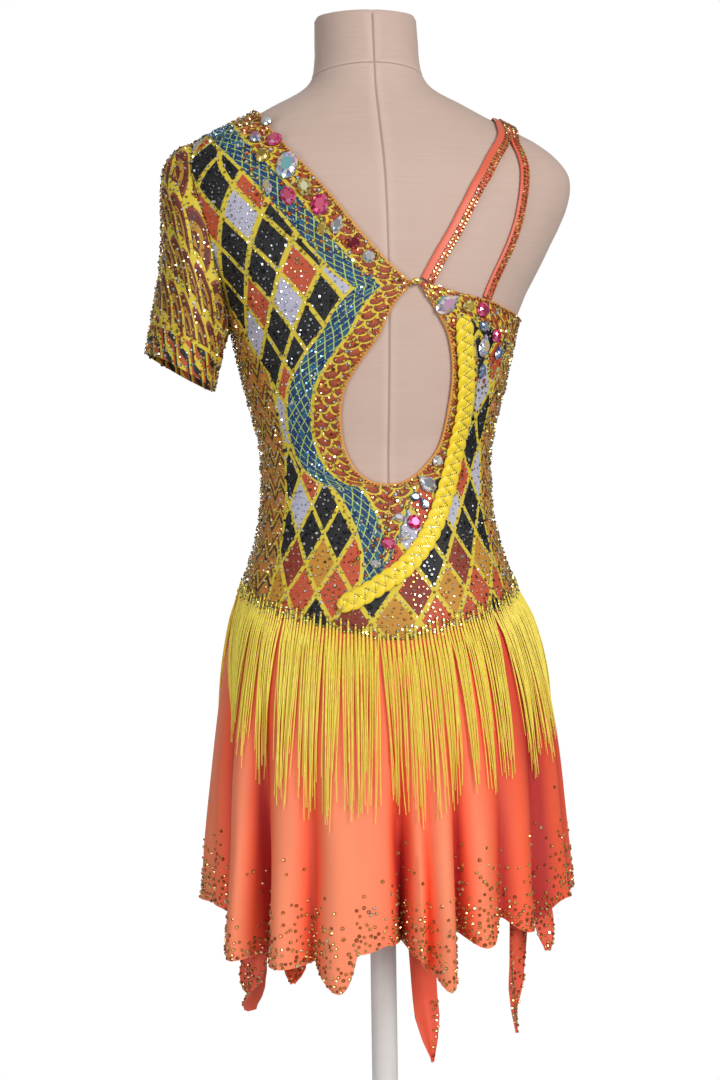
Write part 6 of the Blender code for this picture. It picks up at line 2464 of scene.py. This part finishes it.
@dataclass
class Fringe(SewnPart):
    """The yellow fringe: cords hung from beads along the skirt seam."""

    radius: float = 0.00066
    places: int = 19
    sides: int = 4
    spacing: float = 0.46
    stagger: float = 0.0075
    bead: float = 0.0034
    root: float = -0.0078
    ends_back: tuple[tuple[float, float, float], ...] = (
        (-67.0, 3.8, 0.134), (-56.5, 2.6, 0.15), (-49.0, 2.2, 0.159), (-33.5, 2.2, 0.152),
        (-27.5, 1.6, 0.159),
        (-21.0, 1.2, 0.151), (-14.5, 2.4, 0.162), (-9.0, 2.6, 0.162), (-4.0, 1.0, 0.172), (0.5, 2.8, 0.165),
        (9.5, 2.1, 0.171), (14.0, 3.0, 0.168), (22.0, 2.1, 0.184), (29.5, 2.8, 0.174), (38.0, 2.4, 0.172),
        (50.5, 1.9, 0.16), (57.5, 2.4, 0.148), (68.0, 3.8, 0.13))

    def ends(self, first: float, last: float, seed: int) -> Array:
        """Uneven clumps between two angles: each one's middle, half width and length.

        Args:
            first: the lowest angle, in degrees.
            last: the highest angle.
            seed: seed of the unevenness.

        Returns:
            One row for each clump.
        """
        rng = np.random.default_rng(seed)
        middles = np.cumsum(rng.uniform(7.0, 13.0, 40)) + first + 2.0
        middles = middles[middles < last - 8.0]
        half, length = rng.uniform(1.2, 3.2, len(middles)), rng.uniform(0.152, 0.178, len(middles))
        return np.stack([middles, half, length], 1)

    def bead_places(self, bead: Array, first: float) -> tuple[Array, Array]:
        """The angle and the drop below the seam of beads, counted from the lowest angle."""
        uneven = 0.0024 * np.sin(bead * 2.3)
        return first + 0.4 + bead * 3.0 * self.spacing, self.root + self.stagger * (bead % 2) + uneven

    def strands(self, first: float, last: float, ends: Array,
                seed: int) -> tuple[Array, Array, Array, Samples]:
        """Where each cord runs.

        Args:
            first: lowest angle.
            last: highest angle.
            ends: the clumps.
            seed: which unevenness.

        Returns:
            The cords' points, their sideways and outward directions, and the beads' places.
        """
        rng = np.random.default_rng(seed)
        roots = np.arange(first + 0.4, last - 0.3, self.spacing)
        count = len(roots)
        ends = ends[np.argsort(ends[:, 0])]
        between = (ends[1:, 0] - ends[1:, 1] + ends[:-1, 0] + ends[:-1, 1]) / 2
        edges = np.concatenate([[first], between, [last]])
        group = np.clip(np.searchsorted(edges, roots) - 1, 0, len(ends) - 1)
        low, high = edges[group], edges[group + 1]
        across = (roots - low) / (high - low) * 2.0 - 1.0
        target = ends[group, 0] + ends[group, 1] * 1.02 * (across + rng.normal(0.0, 0.18, count))
        from_side = 90.0 - np.abs(np.abs(roots - (first + last) / 2.0))
        stray = (rng.random(count) < 0.15) & (from_side > 30.0)
        target += np.where(stray, (roots - target) * rng.uniform(0.3, 1.2, count), 0.0)
        length = ends[group, 2] * (1.05 - 0.1 * across**2 - np.abs(rng.normal(0.0, 0.085, count)))
        length = np.where(rng.random(count) < 0.4, length * rng.uniform(0.7, 0.95, count), length)
        bead = np.round(np.arange(count) / 3.0).astype(int)
        at_bead, begin = self.bead_places(bead, first)
        start_angle = at_bead + (roots - at_bead) * 0.28
        share = np.linspace(0.0, 1.0, self.places)[None, :] ** 1.05
        drop = begin[:, None] + (length - begin)[:, None] * share
        spread = smoothstep(share / 0.26)
        loose, tight = rng.uniform(0.85, 1.5, count), rng.uniform(0.8, 1.1, count)
        pull = share ** np.where(from_side > 30.0, loose, tight)[:, None]
        angle = start_angle[:, None] + (roots - start_angle)[:, None] * spread
        angle = angle + (target - roots)[:, None] * pull
        angle += 0.22 * np.sin(share * 6.0 + rng.uniform(0, 6.28, (count, 1))) * share
        fold, begins, _ = FOLD_TABLE.at(angle)
        away = np.maximum.accumulate(skirt_away(angle, fold, begins, np.maximum(drop, 0.0)), axis=1)
        layer = rng.uniform(0.0, 0.003, (count, 1)) * smoothstep(drop / 0.03)
        out = LAY + self.radius + 0.0004 + layer
        hip = BODY.hip(angle)
        over_seam = BODY.point(np.stack([angle, hip - np.minimum(drop, 0.0)], -1), CLOTH_OUT + out)
        points = np.where(drop[..., None] < 0.0, over_seam, skirt_points(angle, drop, away + out))
        tangent = unit(np.gradient(points, axis=1))
        side = unit(np.cross(tangent, unit(BODY.slopes(angle, hip)[2])))
        kinds = np.arange(bead.max() + 1)
        angle, drop = self.bead_places(kinds, first)
        keep = (angle > first + 0.5) & (angle < last - 0.5)
        angle, drop = angle[keep], drop[keep] - 0.0006
        angle = np.concatenate([angle, angle + rng.uniform(-0.35, 0.35, len(angle))])
        drop = np.concatenate([drop, drop + rng.uniform(0.004, 0.0062, len(drop))])
        hip = BODY.hip(angle)
        seats = BODY.point(np.stack([angle, hip - drop], -1), CLOTH_OUT + 0.0015)
        return points, side, np.cross(side, tangent), Samples(seats, BODY.slopes(angle, hip)[2], {})

    def build(self) -> list[Piece]:
        """Build the back and front fringe with the beads at their roots.

        Returns:
            The pieces.
        """
        pieces = []
        for number, (node, first, last, ends) in enumerate((
                ("fringe_back", -89.0, 89.0, np.array(self.ends_back)),
                ("fringe_front", 94.5, 265.5, self.ends(94.5, 265.5, 61)))):
            points, side, up, beads = self.strands(first, last, ends, 70 + number)
            taper = np.interp(np.linspace(0, 1, self.places), (0.0, 0.03, 0.6, 1.0), (0.8, 1.0, 0.92, 0.5))
            sizes = np.broadcast_to((self.radius * taper)[None, :, None], (*points.shape[:2], 2))
            cords = tubes(node + "_cords", points, side, up, sizes, self.sides, finish(FRINGE_CORD))
            place(cords, node, slot="yellow")
            count = len(beads.points)
            colours = ROOT_MIX.palette.pick(count, np.random.default_rng(83 + number))
            sizes = np.where(np.arange(count) < count / 2, self.bead, self.bead * 0.8)
            roots = self.setter.set(node + "_beads", beads, sizes, colours, 90 + number, ROOT_MIX)
            log.info("%s: %d cords", node, len(points))
            pieces += [cords, roots]
        return pieces


# The studio's lamps: name, place, size, watts, colour
LIGHTS = (("key", (-1.25, 2.35, 1.75), 1.1, 50.0, (1.0, 0.985, 0.96)),
          ("fill", (1.9, 2.0, 0.6), 1.2, 19.0, (0.98, 0.98, 1.0)),
          ("spark", (0.3, 2.9, 1.3), 0.22, 6.0, WHITE), ("front", (0.3, -2.9, 1.5), 1.3, 36.0, WHITE))


@dataclass
class Studio:
    """The floor, the soft lights and the camera."""

    azimuth: float = 172.0
    distance: float = 2.3
    aim: tuple[float, float] = (-0.0172, -0.0648)      # to the right, above the waist
    height: float = 0.025
    roll: float = -0.015
    frame: float = 1.08
    floor_radius: float = 0.74

    def light(self, name: str, spot: tuple[float, float, float], size: float, power: float,
              colour: Rgb) -> None:
        """Add one square area light that faces the dress.

        Args:
            name: the light's name.
            spot: where it stands.
            size: metres wide.
            power: watts.
            colour: its colour.
        """
        data = bpy.data.lights.new(name, "AREA")
        data.shape, data.size, data.energy, data.color = "SQUARE", size, power, colour
        lamp = bpy.data.objects.new(name, data)
        lamp.location = spot
        lamp.rotation_mode = "QUATERNION"
        lamp.rotation_quaternion = (Vector((0.0, 0.0, 0.8)) - Vector(spot)).to_track_quat("-Z", "Y")
        bpy.context.scene.collection.objects.link(lamp)

    def world(self) -> None:
        """A white backdrop that lights the dress less than it shows."""
        world = bpy.data.worlds.new("studio")
        bpy.context.scene.world = world
        world.use_nodes = True
        g = Graph(world.node_tree)
        world.node_tree.nodes.clear()
        seen = g.out("LightPath", output="Is Camera Ray")
        up = g.out("SeparateXYZ", {0: g.out("TexCoord", output="Generated")}, 2)
        soft = g.math("ADD", 0.24, up * 0.14)
        strength = seen * 1.0 + (1.0 - seen) * soft
        shade = g.out("Background", {"Color": (*WHITE, 1.0), "Strength": strength})
        g.node("OutputWorld", {"Surface": shade})

    def floor(self) -> None:
        """A pale round floor."""
        deselect()
        bpy.ops.mesh.primitive_circle_add(vertices=96, radius=self.floor_radius, fill_type="NGON",
                                          location=(0.0, 0.0, 0.0))
        ground = bpy.context.object
        ground.name = "studio_floor"
        ground.data.materials.append(finish(FLOOR_PAINT))

    def camera(self) -> None:
        """The camera, looking at the back from a little to the right."""
        turn = math.radians(self.azimuth)
        right = Vector((math.cos(turn), math.sin(turn), 0.0))
        back = Vector((math.sin(turn), -math.cos(turn), 0.0))
        target = right * self.aim[0] + Vector((0.0, 0.0, WAIST + self.aim[1]))
        spot = Vector((target.x, target.y, WAIST + self.height)) + back * self.distance
        data = bpy.data.cameras.new("camera")
        data.sensor_width = 36.0
        data.lens = 36.0 * (target - spot).length / self.frame
        data.clip_start, data.clip_end = 0.05, 50.0
        camera = bpy.data.objects.new("camera", data)
        camera.location = spot
        camera.rotation_mode = "QUATERNION"
        facing = (target - spot).to_track_quat("-Z", "Y")
        camera.rotation_quaternion = facing @ Quaternion((0.0, 0.0, 1.0), self.roll)
        bpy.context.scene.collection.objects.link(camera)
        bpy.context.scene.camera = camera

    def build(self) -> None:
        """Set everything up."""
        scene = bpy.context.scene
        scene.view_settings.view_transform = "Standard"
        self.world()
        self.floor()
        for name, spot, size, power, colour in LIGHTS:
            self.light(name, spot, size, power, colour)
        self.camera()


def main() -> None:
    """Build the dress on its form, then the studio."""
    setter = StoneSetter()
    log.info("form: %s", DressForm().build().name)
    log.info("stand: %d pieces", len(Stand().build()))
    for part in (Bodice, Sleeve, Trims, Skirt, HemPoints, Fringe):
        log.info("%s: %d pieces", part.__name__.lower(), len(part(setter).build()))
    log.info("jewels: %d", len(Jewels().build()))
    Studio().build()


if __name__ == "__main__":
    main()
